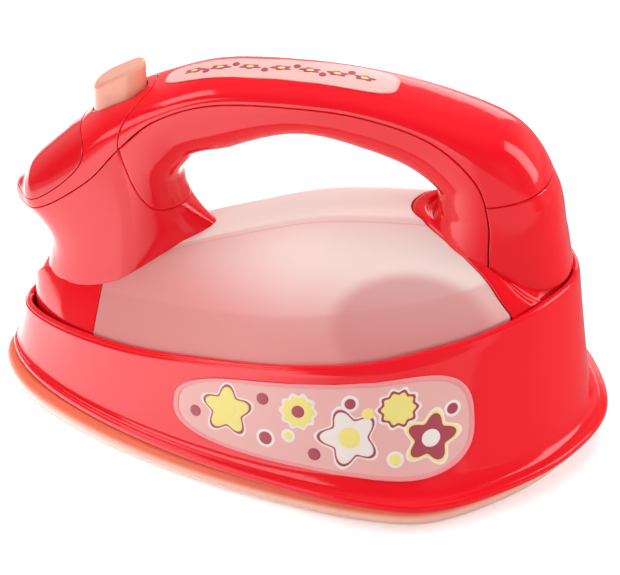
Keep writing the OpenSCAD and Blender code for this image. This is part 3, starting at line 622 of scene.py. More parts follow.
lampClear = plastic("lampClear", (0.9, 0.72, 0.62), (0.86, 0.64, 0.54), roughness=0.15,
                    transmission=0.4)
speakerCone = plastic("speakerCone", (0.02, 0.02, 0.022), (0.04, 0.038, 0.036), roughness=0.7)
peachSole = makeSoleMaterial("peachSole", soleView)
print("materials made")

sole = {"edge": 2.6, "rings": 14, "around": 352, "tab": 9.0, "roof": 0.15, "screwIn": 7.78,
        "screwPlaces": (2.9, 9.6), "screwUp": 0.15, "headHole": 5.8, "cutFrom": -1.0,
        "level": 0.9999, "corner": 40.0}


def carve(piece, cutters):
    # Takes each cutter out of the piece with an exact Boolean, and keeps only the result.
    for cutter in cutters:
        step = piece.modifiers.new("cut", "BOOLEAN")
        step.object = cutter
        step.solver = "EXACT"
    bpy.context.view_layer.update()
    solved = piece.evaluated_get(bpy.context.evaluated_depsgraph_get())
    result = bpy.data.meshes.new_from_object(solved)
    piece.modifiers.clear()
    piece.data = result
    for cutter in cutters:
        bpy.data.objects.remove(cutter)


def cutterLoop(outline, z0, z1):
    # Upright prism over a closed outline in plan.
    outline = np.asarray(outline)
    points = [np.column_stack([outline, np.full(len(outline), z)]) for z in (z0, z1)]
    return placed("cutter", newMesh("cutter", points, cappedFaces(2, len(outline))))


def wholeTurn(count):
    return np.arange(count) * 2 * math.pi / count


def circleLoop(x, y, radius, count=48):
    # Circle in plan: cosine and sine of a whole turn about its centre.
    a = wholeTurn(count)
    return np.stack([x + radius * np.cos(a), y + radius * np.sin(a)], -1)


def makeSole():
    # Slab whose edge is a bullnose: an upper and a lower quarter ellipse around the outline.
    u, side = around(sole["around"])
    half, reach = iron["soleThick"] / 2, sole["edge"]
    turn = np.radians(np.linspace(-90, 90, sole["rings"]))
    rows = [mirrorLoop(ringAt(u, -reach * (1 - math.cos(a)), half + half * math.sin(a)), side)
            for a in turn]
    return makeMesh("soleplatePiece", rows, cappedFaces(len(turn), len(u)), "case", "peach_gloss",
                    peachSole)


def carveSole(piece):
    # The door's recess and the holes of the case screws follow the CAD pieces that fill them.
    low, high = (np.array(corner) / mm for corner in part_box("battery_door"))
    reach, tab, down = iron["seamGap"], sole["tab"], sole["cutFrom"]
    cutters = []
    for (x0, y0), (x1, y1) in (((low[0], low[1]), (high[0] - tab, high[1])),
                               ((high[0] - tab, -tab / 2), (high[0], tab / 2))):
        x0, y0, x1, y1 = x0 - reach, y0 - reach, x1 + reach, y1 + reach
        corners = [(x0, y0), (x1, y0), (x1, y1), (x0, y1)]
        cutters.append(cutterLoop(corners, down, high[2] + sole["roof"]))
    # The screws stand inside the wall, near its foot
    spots = wallAt(np.array(sole["screwPlaces"]), sole["screwUp"], sole["screwIn"])
    for x, y in [(x, side * y) for x, y, _ in spots for side in (-1, 1)]:
        hole = circleLoop(x, y, sole["headHole"] / 2)
        cutters.append(cutterLoop(hole, down, iron["soleThick"] / 2))
    carve(piece, cutters)
    # The level faces are shaded flat, and the corners of the holes stay sharp
    upright = np.empty(len(piece.data.polygons) * 3)
    piece.data.polygons.foreach_get("normal", upright)
    piece.data.polygons.foreach_set("use_smooth", np.abs(upright[2::3]) < sole["level"])
    piece.data.set_sharp_from_angle(angle=math.radians(sole["corner"]))


solePiece = makeSole()
carveSole(solePiece)
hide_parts("soleplate")
print("sole made")

body = {"around": 396, "low": 0.12, "high": 0.95, "inside": (0.12, 0.3, 0.5, 0.7, 0.85, 0.95),
        "rimSteps": 11, "wallSteps": 20, "fillet": 7, "filletUp": 0.10, "filletOut": 0.5,
        "edgeSteps": 9, "edgeShare": 0.6}


def makeBody():
    # One closed loop of profile rows: up the inner wall, over the round rim, down the outer
    # wall, through a hollow at the foot, over the flange's edge and back along the bottom.
    u, side = around(body["around"])
    wall = iron["bodyWall"]
    half = wall / 2
    rows = [wallAt(u, t, wall) for t in body["inside"]]
    top = wallAt(u, 1.0, half)
    lean = wallAt(u, 1.0, 0.0) - top
    for a in np.radians(np.linspace(180, 0, body["rimSteps"])):
        row = top + lean * math.cos(a)
        row[:, 2] = top[:, 2] - half + half * math.sin(a)
        rows.append(row)
    rows += [wallAt(u, t, 0.0) for t in np.linspace(body["high"], body["low"], body["wallSteps"])]
    ledge = flangeOff(u) - footOff(u)
    start, corner = wallAt(u, body["filletUp"], 0.0), wallAt(u, 0.0, 0.0)
    end = ringAt(u, footOff(u) + ledge * body["filletOut"], footZ)
    for t in np.linspace(0, 1, body["fillet"]):
        rows.append(mix(mix(start, corner, t), mix(corner, end, t), t))
    r = iron["flangeThick"] / 2
    for a in np.radians(np.linspace(90, -90, body["edgeSteps"])):
        off = flangeOff(u) - r * body["edgeShare"] * (1 - math.cos(a))
        rows.append(ringAt(u, off, footZ - r + r * math.sin(a)))
    rows.append(ringAt(u, footOff(u) - wall, footZ - iron["flangeThick"]))
    points = np.stack([mirrorLoop(row, side) for row in rows])
    faces = closedFaces(points)[:, ::-1]
    makeMesh("bodyShellPiece", points, faces, "case", "red_gloss", redGloss, "body_shell")


makeBody()
print("body made")

# The upper surface: the dome's ridge, the saddle's lip along its front edge and its hollow
crown = {"ridgeStep": 0.45, "ridgeEase": 1.2, "ridgeGroove": 0.3, "grooveOff": 1.3,
         "grooveHalf": 0.4, "edge": 0.25, "tuck": (0.35, 0.7, 1.0), "lip": 0.9, "lipRun": 1.6,
         "lipStart": 0.3, "lipWidth": 3.4, "lipEase": 0.5, "lipSide": 0.1, "lipGroove": 0.35,
         "lipGrooveOff": 0.4, "lipGrooveHalf": 0.35, "moat": 1.4, "moatWidth": 3.8,
         "moatCore": 9, "moatFrom": 0.2, "moatEase": 2.5, "spread": 0.42, "spreadFrom": 8.5,
         "spreadRun": 2, "rear": 0.16, "shortest": 1.0}


def crownPoint(u, v, inset, rise=0.0, spread=0.0):
    # Upper surface, with inset taken off its height and its half width, and spread added on.
    w, y = tankHalf(u), acrossY(u, v)
    z = crownZ(u, y) + rise - inset
    away = spread * np.clip((u - crown["spreadFrom"]) / crown["spreadRun"], 0, 1)
    y = y * np.maximum(w - inset + spread, iron["domeLeast"]) / w
    return np.stack([tankX(u) + away, y, z], -1)


def easeStep(x):
    # Smooth step from 0 to 1: three times the square less twice the cube.
    x = np.clip(x, 0, 1)
    return x * x * (3 - 2 * x)


def crownPiece(name, node, fromU, toU, riseAt, material, slot, rows, cols=97, spread=0.0):
    # Patch of the upper surface, tucked down inside the rim at both sides.
    v = np.linspace(-1, 1, cols)
    f, t = fromU(v), toU(v)
    lengths = np.maximum(np.abs(tankX(t) - tankX(f)), crown["shortest"])
    s = edgedSteps(crown["edge"], lengths, rows)
    inset = roundOff(np.minimum(s, 1 - s) * lengths, crown["edge"])
    u = mix(f[None, :], t[None, :], s)
    vv = np.broadcast_to(v, u.shape)
    rise = riseAt(s * lengths, u, vv)

    def tucked(mid, side, shares):
        row = mid[:, [side]]
        foot = rimZ(u[:, [side]]) - iron["domeGap"] - iron["domeTuck"]
        return [np.dstack([row[..., :2], mix(row[..., 2], foot, k)]) for k in shares]

    def whole(thick):
        mid = crownPoint(u, vv, np.maximum(inset, thick), rise, spread)
        near, far = tucked(mid, 0, crown["tuck"][::-1]), tucked(mid, -1, crown["tuck"])
        return np.concatenate([*near, mid, *far], 1)

    makeMesh(name, *patchSolid(whole(0.0), whole(iron["domeWall"])), "case", slot, material, node)


def domeRise(d, u, v):
    # The flat ridge stands a little proud, with a soft edge and a groove beside it.
    out = np.abs(acrossY(u, v)) - ridgeHalf(u)
    step = crown["ridgeStep"] * easeStep((crown["ridgeEase"] / 2 - out) / crown["ridgeEase"])
    groove = np.exp(-((out - crown["grooveOff"]) / crown["grooveHalf"]) ** 2)
    return step - crown["ridgeGroove"] * groove


def flatRise(d, u, v):
    return np.zeros_like(u)


def columnFoot(a, low, inset, clear=0.1):
    # Bisection for the place where the handle's surface comes down to the saddle.
    lo, hi = np.full(np.shape(a), low), np.full(np.shape(a), ends["column"])
    for _ in range(24):
        m = (lo + hi) / 2
        p = handleAt(m, a, inset)
        above = p[..., 2] - crownOver(p[..., 0], p[..., 1]) - clear > 0
        lo, hi = np.where(above, m, lo), np.where(above, hi, m)
    return lo


def columnOutline():
    # Foot of the column in plan, as a closed line: its rear half, then the front half.
    top, under = np.linspace(0, 180, 61), np.linspace(180, 360, 61)
    rear = handleAt(columnFoot(top, ends["columnHigh"], 0.0), top)
    front = handleAt(columnFoot(under, ends["columnLow"], 0.0), under)
    return np.concatenate([rear, front])[:, :2]


def lineDistance(points, line):
    # Least distance from each point to the stretches of a line, in any number of axes.
    best = np.full(points.shape[:-1], 1e9)
    for start, run in zip(line[:-1], np.diff(line, axis=0)):
        t = np.clip(((points - start) @ run) / max(run @ run, 1e-9), 0, 1)
        best = np.minimum(best, np.linalg.norm(points - start - t[..., None] * run, axis=-1))
    return best


def saddleRise(d, u, v):
    # A rolled lip along the front edge with a groove behind it, and a hollow round the column:
    # deepest at the column's foot, and up to the level ledge by the square of the way out.
    past = d - crown["lipWidth"]
    lip = easeStep(d / crown["lipRun"] + crown["lipStart"])
    lip = lip * (1 - easeStep(past + crown["lipEase"]))
    groove = np.exp(-((past - crown["lipGrooveOff"]) / crown["lipGrooveHalf"]) ** 2)
    up = crown["lip"] * lip - crown["lipGroove"] * groove
    points, outline = np.stack([tankX(u), acrossY(u, v)], -1), columnOutline()
    inside = np.linalg.norm(points - outline.mean(0), axis=-1) < crown["moatCore"]
    far = np.where(inside, 0, lineDistance(points, outline))
    share = np.clip(far / crown["moatWidth"], 0, 1)
    start = easeStep((past - crown["moatFrom"]) / crown["moatEase"])
    moat = -crown["moat"] * (1 - share ** 2) * start
    return up * easeStep((1 - np.abs(v)) / crown["lipSide"]) + moat


halfSeam = iron["partLine"] * lastPlace / iron["soleLength"]
crownPiece(
    "tankDomePiece", "tank_dome", lambda v: ends["shoulderTo"] + halfSeam + 0 * v,
    lambda v: saddlePlace(v) - halfSeam, domeRise, frosted, "frosted_dome", 110)
crownPiece(
    "frontShoulderPiece", "front_shoulder", lambda v: ends["shoulderFrom"] + 0 * v,
    lambda v: ends["shoulderTo"] + 0 * v, flatRise, redGloss, "red_gloss", 60)
crownPiece(
    "rearSaddlePiece", "rear_saddle", lambda v: saddlePlace(v) + halfSeam,
    lambda v: lastPlace - crown["rear"] + 0 * v, saddleRise, redGloss, "red_gloss", 130,
    cols=161, spread=crown["spread"])
print("dome made")

# The waisted column under the nose. Corners are in degrees.
neck = {"length": 0.282 * ironLength, "width": 1.2 * iron["gripWidth"],
        "centre": -0.2805 * ironLength, "height": 22.0, "waist": 0.08, "corner": 80.0,
        "taper": 0.4, "count": 60, "under": 90, "rows": 70, "seamLevel": 0.44, "seamBend": 0.2,
        "clear": 0.12, "groove": 0.5, "bow": 3.4, "edge": 0.26, "innerFrom": 0.5}


def neckFoot(angle, inset):
    # Ellipse in plan that stands on the upper surface. Its rear half narrows to the rear.
    c, s = np.cos(np.radians(angle)), np.sin(np.radians(angle))
    x = neck["centre"] + (neck["length"] / 2 - inset) * c
    y = (neck["width"] / 2 * (1 - neck["taper"] * np.maximum(c, 0)) - inset) * s
    return np.stack([x, y, crownOver(x, y) + neck["clear"]], -1)


def neckTop(place, angle, inset):
    # The handle's seam line, or its lower section where the angle lies under the seam.
    p = handleAt(place, angle, inset)
    n = seamNormal(place) * iron["partLine"] / 2
    onSeam = (np.abs(np.sin(np.radians(angle))) < 1e-6)[..., None]
    return p - np.stack([n[..., 0], 0 * n[..., 0], n[..., 1]], -1) * onSeam


neckBack = (neck["centre"] + neck["length"] / 2,
            handleAt(ends["neck"], np.linspace(180, 360, 41))[:, 0].max())


def neckAt(place, angle, footAngle, t, inset):
    # Mix of foot and top by t, drawn in towards the rear edge by a sine of the way up. The rear
    # half is hollow: it bows forward by a sine that eases out at the top.
    top = neckTop(np.where(inset > 0, np.maximum(place, neck["innerFrom"]), place), angle, inset)
    p = mix(neckFoot(footAngle, inset), top, t[..., None])
    back = mix(*neckBack, t)
    pinch = 1 - neck["waist"] * np.sin(np.pi * t)
    rear = np.clip((p[..., 0] - neck["centre"]) / (back - neck["centre"]), 0, 1)
    bow = neck["bow"] * np.sin(np.pi * t) * (1 - t ** 3) * rear ** 2
    return np.stack([back + (p[..., 0] - back) * pinch - bow, p[..., 1] * pinch, p[..., 2]], -1)


def underAt(side, t, inset):
    # Part of the neck below the section at the end of the seam: side runs from far to near.
    return neckAt(np.full(side.shape, ends["neck"]), 180 + 180 * side,
                  mix(neck["corner"], -neck["corner"], side), t, inset)


def seamShare(side):
    # Height share at which the neck ends: level, with a quarter ellipse up to the seam line.
    bend = neck["seamBend"]
    return mix(neck["seamLevel"], 1, roundOff(np.minimum(side, 1 - side), bend) / bend)


def sideSteps(count):
    # Shares from 0 to 1 that lie closer at both ends, by a cosine.
    return (1 - np.cos(np.pi * np.arange(count + 1) / count)) / 2


fineSide = np.linspace(0, 1, 241)
neckSeam = underAt(fineSide, seamShare(fineSide), 0 * fineSide)


def grooveInset(points):
    # A quarter round beside the seam: full depth on the line, nothing beyond its radius.
    return roundOff(lineDistance(points, neckSeam), neck["groove"])


def makeNeck():
    # Columns from foot to top: along the seam on both sides of the nose, then across the rear.
    n, onSides = neck["count"], 2 * neck["count"] + 2
    place = mix(0, ends["neck"], np.arange(n, -1, -1) / n)
    side = sideSteps(neck["under"])[1:-1]
    places = np.concatenate([place, place[::-1], np.full(len(side), ends["neck"])])
    angles = np.concatenate([np.repeat([0.0, 180.0], n + 1), 180 + 180 * side])
    feet = np.concatenate([
        mix(-neck["corner"], neck["corner"] - 360, np.arange(onSides) / (onSides - 1)),
        mix(neck["corner"], -neck["corner"], side)])
    topShare = np.concatenate([np.ones(onSides), seamShare(side)])
    length = neck["height"] * topShare
    s = edgedSteps(neck["edge"], length, neck["rows"])
    t = s * topShare
    inset = roundOff((1 - s) * length, neck["edge"]) * (np.arange(len(places)) < onSides)
    grid = [np.broadcast_to(x, t.shape) for x in (places, angles, feet)]
    inset = np.maximum(inset, grooveInset(neckAt(*grid, t, 0 * t)))
    inner = neckAt(*grid, t, np.full(t.shape, iron["handleWall"]))
    points = np.concatenate([neckAt(*grid, t, inset), inner[::-1]])
    makeMesh("frontNeckPiece", points, closedFaces(points), "case", "red_gloss", redGloss,
             "front_neck")


makeNeck()
print("neck made")

# The shells of the grip. The gap is the width of a seam across it, counted in rows of the handle.
shell = {"edge": 0.26, "gap": 2.5 * iron["partLine"] / iron["gripThick"], "probe": 40}
cap = {"strip": 2.8, "power": 3.5, "around": 360, "edge": 0.28, "middle": (2.3, 90.0),
       "capTo": 0.994, "collarFrom": 0.01, "probe": 30}


def collarEnd(a):
    # The collar ends farther back on top than at the seam, by the sine of the angle.
    return mix(ends["neck"], ends["collarTop"], np.maximum(np.sin(np.radians(a)), 0))


def handleShell(name, node, fromU, toU, rows, cols):
    # Upper part of the handle's surface, between two places at each angle.
    def at(s, t, inset, base):
        a = mix(ends["seamTurn"], 180 - ends["seamTurn"], t)
        return handleAt(mix(fromU(a), toU(a, base), s), a, inset)

    steps = np.linspace(0, 1, shell["probe"])
    probe = at(*np.meshgrid(steps, steps, indexing="ij"), 0.0, 0.0)
    s, t, inset = shellGrid(rows, cols, shell["edge"], pathLength(probe, 0), pathLength(probe, 1))
    wall = iron["handleWall"]
    solid = patchSolid(at(s, t, inset, 0.0), at(s, t, wall, wall))
    makeMesh(name, *solid, "case", "red_gloss", redGloss, node)


def evenSteps(line, count):
    # The same line of places and angles, with equal steps along the surface.
    p = handleAt(line[:, 0], line[:, 1])
    run = np.concatenate([[0], np.cumsum(np.linalg.norm(np.diff(p, axis=0), axis=1))])
    at = np.linspace(0, run[-1], count)
    return np.stack([np.interp(at, run, line[:, 0]), np.interp(at, run, line[:, 1])], -1)


def bothSides(line):
    # A near half from front to rear in even steps, closed by its mirror image on the far side.
    half = evenSteps(line, cap["around"] // 2 + 1)
    far = half[1:-1][::-1].copy()
    far[:, 1] = 180 - far[:, 1]
    return np.concatenate([half, far])


def topLift(u):
    # Height of the handle's top above its seam.
    return openCurve(handleRows, u)[..., 2] * iron["gripThick"]


def capOutline():
    # The lower edge keeps one height above the seam, and turns up to the top along a
    # superellipse: place to the power plus the rest of the height to the power is one.
    table = np.linspace(0, 1, 400)
    first = np.interp(cap["strip"], topLift(table), table)
    turn = (math.pi / 2) * np.linspace(0, 1, 2000) ** 2
    along = np.sin(turn) ** (2 / cap["power"])
    up = 1 - np.cos(turn) ** (2 / cap["power"])
    u = mix(first, ends["cap"], along)
    h = topLift(u)
    share = np.clip(mix(cap["strip"], h, up) / h, 0, 1)
    a = np.degrees(np.arcsin(share ** (1 / ends["section"])))
    return bothSides(np.stack([u, a], -1))


def collarOutline():
    # Round the front, along the seam line, and up the end of the collar.
    turn, count = ends["seamTurn"], 400
    front = np.stack([np.zeros(60), np.linspace(90, turn, 60)], -1)
    low = np.stack([np.linspace(0, ends["neck"], count), np.full(count, turn)], -1)
    a = np.linspace(turn, 90, count)
    rear = np.stack([collarEnd(a) - shell["gap"], a], -1)
    return bothSides(np.concatenate([front, low[1:], rear[1:]]))


def ringShell(name, node, inner, outer, rows, material):
    # Part of the handle's surface between two outlines, or from a middle point out to one.
    edge = cap["edge"]
    wide = mix(inner, outer, np.linspace(0, 1, cap["probe"])[:, None, None])
    length = pathLength(handleAt(wide[..., 0], wide[..., 1]), 0)
    hole = np.ptp(inner[:, 0]) > 0
    near = edgeSteps(edge)[:, None] / length
    first = near if hole else np.zeros((1, len(inner)))
    s = np.linspace(0, 1, rows)[1:-1, None]
    s = np.concatenate([first, first[-1] + (1 - near[-1] - first[-1]) * s, 1 - near[::-1]])
    inset = roundOff(np.minimum(s if hole else 1, 1 - s) * length, edge)
    place = mix(inner, outer, s[..., None])
    top = handleAt(place[..., 0], place[..., 1], inset)
    low = handleAt(place[..., 0], place[..., 1], iron["handleWall"])
    points = np.concatenate([top, low[::-1]])
    points, faces = (points, closedFaces(points)) if hole else poleSolid(points)
    return makeMesh(name, points, faces, "case", "red_gloss", material, node)


capLine, collarLine = capOutline(), collarOutline()
middle = np.broadcast_to(cap["middle"], capLine.shape)
# The nose cap takes the darker copy of the red, as painted shade
ringShell("noseCapPiece", "nose_cap", middle, mix(middle, capLine, cap["capTo"]), 46, redPaintedShade)
collarPiece = ringShell("buttonCollarPiece", "button_collar",
                        mix(capLine, collarLine, cap["collarFrom"]), collarLine, 40, redGloss)
handleShell("handleCoverPiece", "handle_top_cover", collarEnd,
            lambda a, base: ends["cover"] - shell["gap"] + 0 * a, 190, 60)
handleShell("rearColumnPiece", "rear_column", lambda a: ends["cover"] + 0 * a,
            lambda a, base: columnFoot(a, ends["columnHigh"], base, -crown["moat"]), 80, 70)

lower = {"edge": 0.26, "rows": 190, "joinRows": 34, "length": 150.0, "girth": 28.8 * math.pi,
         "easeReach": 16, "easeTimes": 60, "ease": 0.8}


def makeLower():
    # The lower half of the grip. It goes on below the end of the neck's seam, down to the
    # level at which the neck ends, and the two parts are eased into each other.
    side, wall = sideSteps(neck["under"]), iron["handleWall"]
    near = edgeSteps(lower["edge"]) / lower["length"]
    angle = 180 + ends["seamTurn"] + (180 - 2 * ends["seamTurn"]) * side
    share = mix(seamShare(side), 1, np.linspace(0, 1, lower["joinRows"])[:-1, None])
    run = np.linspace(0, 1, lower["rows"]) * (1 - near[-1])
    run = np.concatenate([run, 1 - near[::-1][1:]])[:, None]
    sideAt = np.broadcast_to(side, share.shape)
    groove = grooveInset(underAt(sideAt, share, 0 * share))
    away = np.minimum(np.minimum(side, 1 - side) * lower["girth"], (1 - run) * lower["length"])

    def whole(thick):
        foot = columnFoot(angle, ends["columnLow"], thick, -crown["moat"])
        u = mix(ends["neck"], foot, run)
        inset = np.maximum(roundOff(away, lower["edge"]), thick)
        first = underAt(sideAt, share, np.maximum(groove, thick))
        grid = np.concatenate([first, handleAt(u, np.broadcast_to(angle, u.shape), inset)])
        mid, reach = len(first), lower["easeReach"]
        for _ in range(lower["easeTimes"]):
            part = grid[mid - reach:mid + reach + 1]
            mean = (part[:-2] + part[2:]) / 2
            grid[mid - reach + 1:mid + reach] = mix(part[1:-1], mean, lower["ease"])
        return grid

    makeMesh("handleLowerPiece", *patchSolid(whole(0.0), whole(wall)), "case", "red_gloss",
             redGloss, "handle_lower_shell")


makeLower()
print("handle made")

button = {"length": 16.0, "width": 11.0, "rise": 7.0, "top": 12.35, "soft": 0.5, "gap": 0.4,
          "round": 1.5, "place": 4.35, "slopeStep": 0.6, "around": 96, "lipReach": 0.6,
          "lipThick": 1.2, "core": 0.25, "holeDown": 12, "holeUp": 14, "wallFrom": 0.1,
          "wallRows": 8, "roundRows": 10, "topRows": 7}
buttonAt = handleAt(button["place"], 90.0)
buttonRun = (handleAt(button["place"] + button["slopeStep"], 90.0)
             - handleAt(button["place"] - button["slopeStep"], 90.0))
buttonSlope = buttonRun[2] / buttonRun[0]


def stadiumLoop(inset, count):
    # Bar with round ends, moved in by inset: half turns about the two ends' centres.
    a = wholeTurn(count)
    reach = (button["length"] - button["width"]) / 2
    r = button["width"] / 2 - inset
    return np.stack([np.sign(np.cos(a)) * reach + r * np.cos(a), r * np.sin(a)], -1)


def buttonTop(x):
    # Slanted top that eases into a level one: a smooth least of the two heights.
    slant = button["rise"] * math.sqrt(1 + buttonSlope ** 2) + x * buttonSlope
    return -button["soft"] * np.logaddexp(-slant / button["soft"], -button["top"] / button["soft"])


def makeButton():
    # Rings from the lip under the collar up the sides, over a round edge and in over the top.
    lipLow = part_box("push_button")[0][2] / mm - buttonAt[2]
    lipHigh, out, r = lipLow + button["lipThick"], -button["lipReach"], button["round"]

    def row(inset, height):
        loop = stadiumLoop(inset, button["around"])
        z = height(loop[:, 0]) if callable(height) else np.full(len(loop), height)
        return np.column_stack([loop, z]) + buttonAt

    rows = [row(out, lipLow), row(out, lipHigh), row(0, lipHigh)]
    for t in np.linspace(button["wallFrom"], 1, button["wallRows"]):
        rows.append(row(0, lambda x: mix(lipHigh, buttonTop(x) - r, t)))
    for a in np.radians(np.linspace(0, 90, button["roundRows"])[1:]):
        rows.append(row(r * (1 - math.cos(a)), lambda x: buttonTop(x) - r * (1 - math.sin(a))))
    for inset in np.linspace(r, button["width"] / 2 - button["core"], button["topRows"])[1:]:
        rows.append(row(inset, buttonTop))
    makeMesh("pushButtonPiece", rows, cappedFaces(len(rows), button["around"]), "button",
             "peach_button", buttonPeach, "push_button")


makeButton()
hole = stadiumLoop(-button["gap"], button["around"]) + buttonAt[:2]
carve(collarPiece, [cutterLoop(hole, buttonAt[2] - button["holeDown"],
                               buttonAt[2] + button["holeUp"])])

spring = {"turns": 5, "flat": 0.5, "wire": 0.78, "sides": 10, "perTurn": 32, "travel": 2.5}


def makeSpring():
    # Coil with flat ends: a tube round a circle whose height eases in and out.
    low, high = (np.array(corner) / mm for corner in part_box("button_spring"))
    wire, tall, centre = spring["wire"], high[2] - low[2], (low + high) / 2
    count = spring["turns"] * spring["perTurn"] + 1
    share = np.linspace(0, 1, count)[:, None]
    turn = 2 * math.pi * spring["turns"] * share
    rising = spring["turns"] - 2 * spring["flat"]
    ease = np.clip((share * spring["turns"] - spring["flat"]) / rising, 0, 1)
    b = wholeTurn(spring["sides"])
    reach = (high[0] - low[0]) / 2 - wire / 2 + wire / 2 * np.cos(b)
    z = low[2] + wire / 2 + (tall - wire) * ease + wire / 2 * np.sin(b)
    points = np.stack([centre[0] + reach * np.cos(turn), centre[1] + reach * np.sin(turn), z], -1)
    piece = makeMesh("springPiece", points, cappedFaces(count, len(b)), "case", "spring_steel",
                     steel, "button_spring")
    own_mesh(piece)


makeSpring()
print("button made")

# Places along the body and the handle, and heights above their surfaces
label = {"from": 4.6, "to": 8.7, "middle": 0.49, "half": 0.37, "thick": 0.26, "gap": 0.1,
         "gripFrom": 5.2, "gripTo": 8.3, "upPower": 2.7, "gripNarrow": 17.0, "gripOpen": 28.0,
         "discEdge": 0.94, "discWall": 0.6, "rings": 24, "rimOuter": 0.05, "rimTop": 0.1,
         "rimInner": 0.03, "inkDeep": 0.1, "inkOne": 0.09, "inkMany": 0.02, "inkStep": 0.03,
         "inkShrink": 0.9, "sidePower": 5, "gripPower": 6, "rim": 0.91, "rimSlope": 0.1}


def sideSpot(side):
    # Side label: p runs along it and q up it, both from -1 to 1.
    def at(p, q, lift):
        u = mix(label["from"], label["to"], (p + 1) / 2)
        return wallAt(u, label["middle"] + label["half"] * q, -lift) * (1, side, 1)
    return at


def gripSpot(p, q, lift):
    # Grip label: p runs along the handle and q across its top.
    t = (p + 1) / 2
    a = 90 - mix(label["gripNarrow"], label["gripOpen"], t) * q
    return handleAt(mix(label["gripFrom"], label["gripTo"], t), a, -lift)


def discSolid(at, loop, low, high, rings):
    # Thin plate on a surface: rings from its middle out to the loop, then back underneath.
    p, q = loop
    midP, midQ = p.mean(), q.mean()

    def ring(k, lift):
        return at(mix(midP, p, k), mix(midQ, q, k), lift)

    scale = np.linspace(0, 1, rings + 1) * label["discEdge"]
    rows = [ring(k, high) for k in scale] + [ring(k, low) for k in scale[::-1]]
    rows[rings + 1:rings + 1] = [ring(1, mix(low, high, label["discWall"])), ring(1, low)]
    return poleSolid(rows)


def joined(parts):
    # Several solids in one mesh.
    points, faces, start = [], [], 0
    for p, f in parts:
        points.append(p)
        faces += [face + start for face in f]
        start += len(p)
    return np.concatenate(points), faces


def labelLoop(power, grow=1.0, count=160):
    # Superellipse: along to the given power plus up to its own power is one. The label is about
    # three times as long as high, so its length shrinks by a third of the share.
    a = wholeTurn(count)
    c, s = np.cos(a), np.sin(a)
    up = np.sign(s) * np.abs(s) ** (2 / label["upPower"])
    return np.sign(c) * np.abs(c) ** (2 / power) * mix(1, grow, 1 / 3), up * grow


def motifLoop(at, p0, q0, radius, turn=0.0, count=60):
    # Polar outline in millimetres about a spot, carried onto the surface by the local slopes.
    step = 1e-3
    spots = at(p0 + np.array([0, step, 0]), q0 + np.array([0, 0, step]), 0.0)
    along, up = np.linalg.norm(spots[1:] - spots[0], axis=-1) / step
    a = wholeTurn(count)
    return p0 + radius(a) * np.cos(a + turn) / along, q0 + radius(a) * np.sin(a + turn) / up


# Radius of a motif over the angle, where 1 is its size
shapes = {
    "dot": lambda a: 1 + 0 * a,
    "flower": lambda a: 0.82 + 0.18 * np.cos(5 * a),
    "scallop": lambda a: 0.92 + 0.08 * np.cos(10 * a),
}
# Each motif: shape, place along and up as shares of half the label, radius in millimetres, turn
# in degrees, colours from the lowest layer to the highest. Each layer is a little smaller than
# the one under it.
sideMotifs = [
    ("flower", -0.66, 0.10, 9.5, 18, "wrc"), ("dot", -0.66, 0.10, 3.0, 0, "c"),
    ("scallop", -0.22, 0.34, 6.2, 0, "wc"), ("dot", -0.22, 0.34, 2.0, 0, "r"),
    ("flower", 0.10, -0.16, 10.5, 40, "wrw"), ("dot", 0.10, -0.16, 3.4, 0, "c"),
    ("scallop", 0.44, 0.42, 7.0, 0, "wrc"),
    ("flower", 0.68, -0.22, 9.5, 5, "wcr"), ("dot", 0.68, -0.22, 2.8, 0, "w"),
    ("dot", -0.42, -0.44, 3.0, 0, "wr"), ("dot", -0.28, -0.28, 2.2, 0, "wc"),
    ("dot", 0.10, 0.58, 2.6, 0, "wr"), ("dot", 0.22, 0.36, 1.8, 0, "c"),
    ("dot", 0.42, -0.58, 2.6, 0, "wc"), ("dot", 0.84, 0.24, 2.6, 0, "wr"),
    ("dot", -0.44, 0.56, 1.9, 0, "r"), ("dot", -0.86, -0.14, 1.8, 0, "r"),
    ("dot", -0.12, -0.62, 1.9, 0, "r"),
]
gripRow, gripDots = np.linspace(-0.7, 0.7, 7), np.linspace(-0.58, 0.58, 6)
gripMotifs = [("flower", x, 0.0, 3.5, 10 * i, "r") for i, x in enumerate(gripRow)]
gripMotifs += [("dot", x, 0.0, 1.2, 0, "c") for x in gripRow]
gripMotifs += [("dot", x, 0.2 * (-1) ** i, 1.1, 0, "r") for i, x in enumerate(gripDots)]
inks = {"r": ("Rose", inkRose), "c": ("Cream", inkCream), "w": ("White", inkWhite)}


def makeLabel(name, node, at, power, motifs, rim):
    low = label["gap"]
    top = low + label["thick"]
    film = discSolid(at, labelLoop(power), low, top, label["rings"])
    makeMesh(name + "Piece", *film, "case", "label_film", labelFilm, node)
    if rim:
        crest = top + label["rimTop"]
        outer, inner = mix(1, rim, label["rimSlope"]), mix(rim, 1, label["rimSlope"])
        profile = ((1, low), (1, top + label["rimOuter"]), (outer, crest),
                   (inner, crest), (rim, top + label["rimInner"]), (rim, low))
        ring = np.stack([at(*labelLoop(power, grow), lift) for grow, lift in profile])
        makeMesh(name + "RimPiece", ring, closedFaces(ring), "case", "label_film", labelRim)
    layers = {key: [] for key in inks}
    for shape, p, q, size, turn, colours in motifs:
        many = len(colours) > 1
        base = top + (label["inkMany"] if many else label["inkOne"])
        for k, key in enumerate(colours):
            wide = size - label["inkShrink"] * k
            loop = motifLoop(at, p, q, lambda a: wide * shapes[shape](a), math.radians(turn))
            high = base + label["inkStep"] * k
            layers[key].append(discSolid(at, loop, top - label["inkDeep"], high, 3))
    for key, parts in layers.items():
        if parts:
            ink, material = inks[key]
            makeMesh(name + ink + "Piece", *joined(parts), "case", "label_film", material)


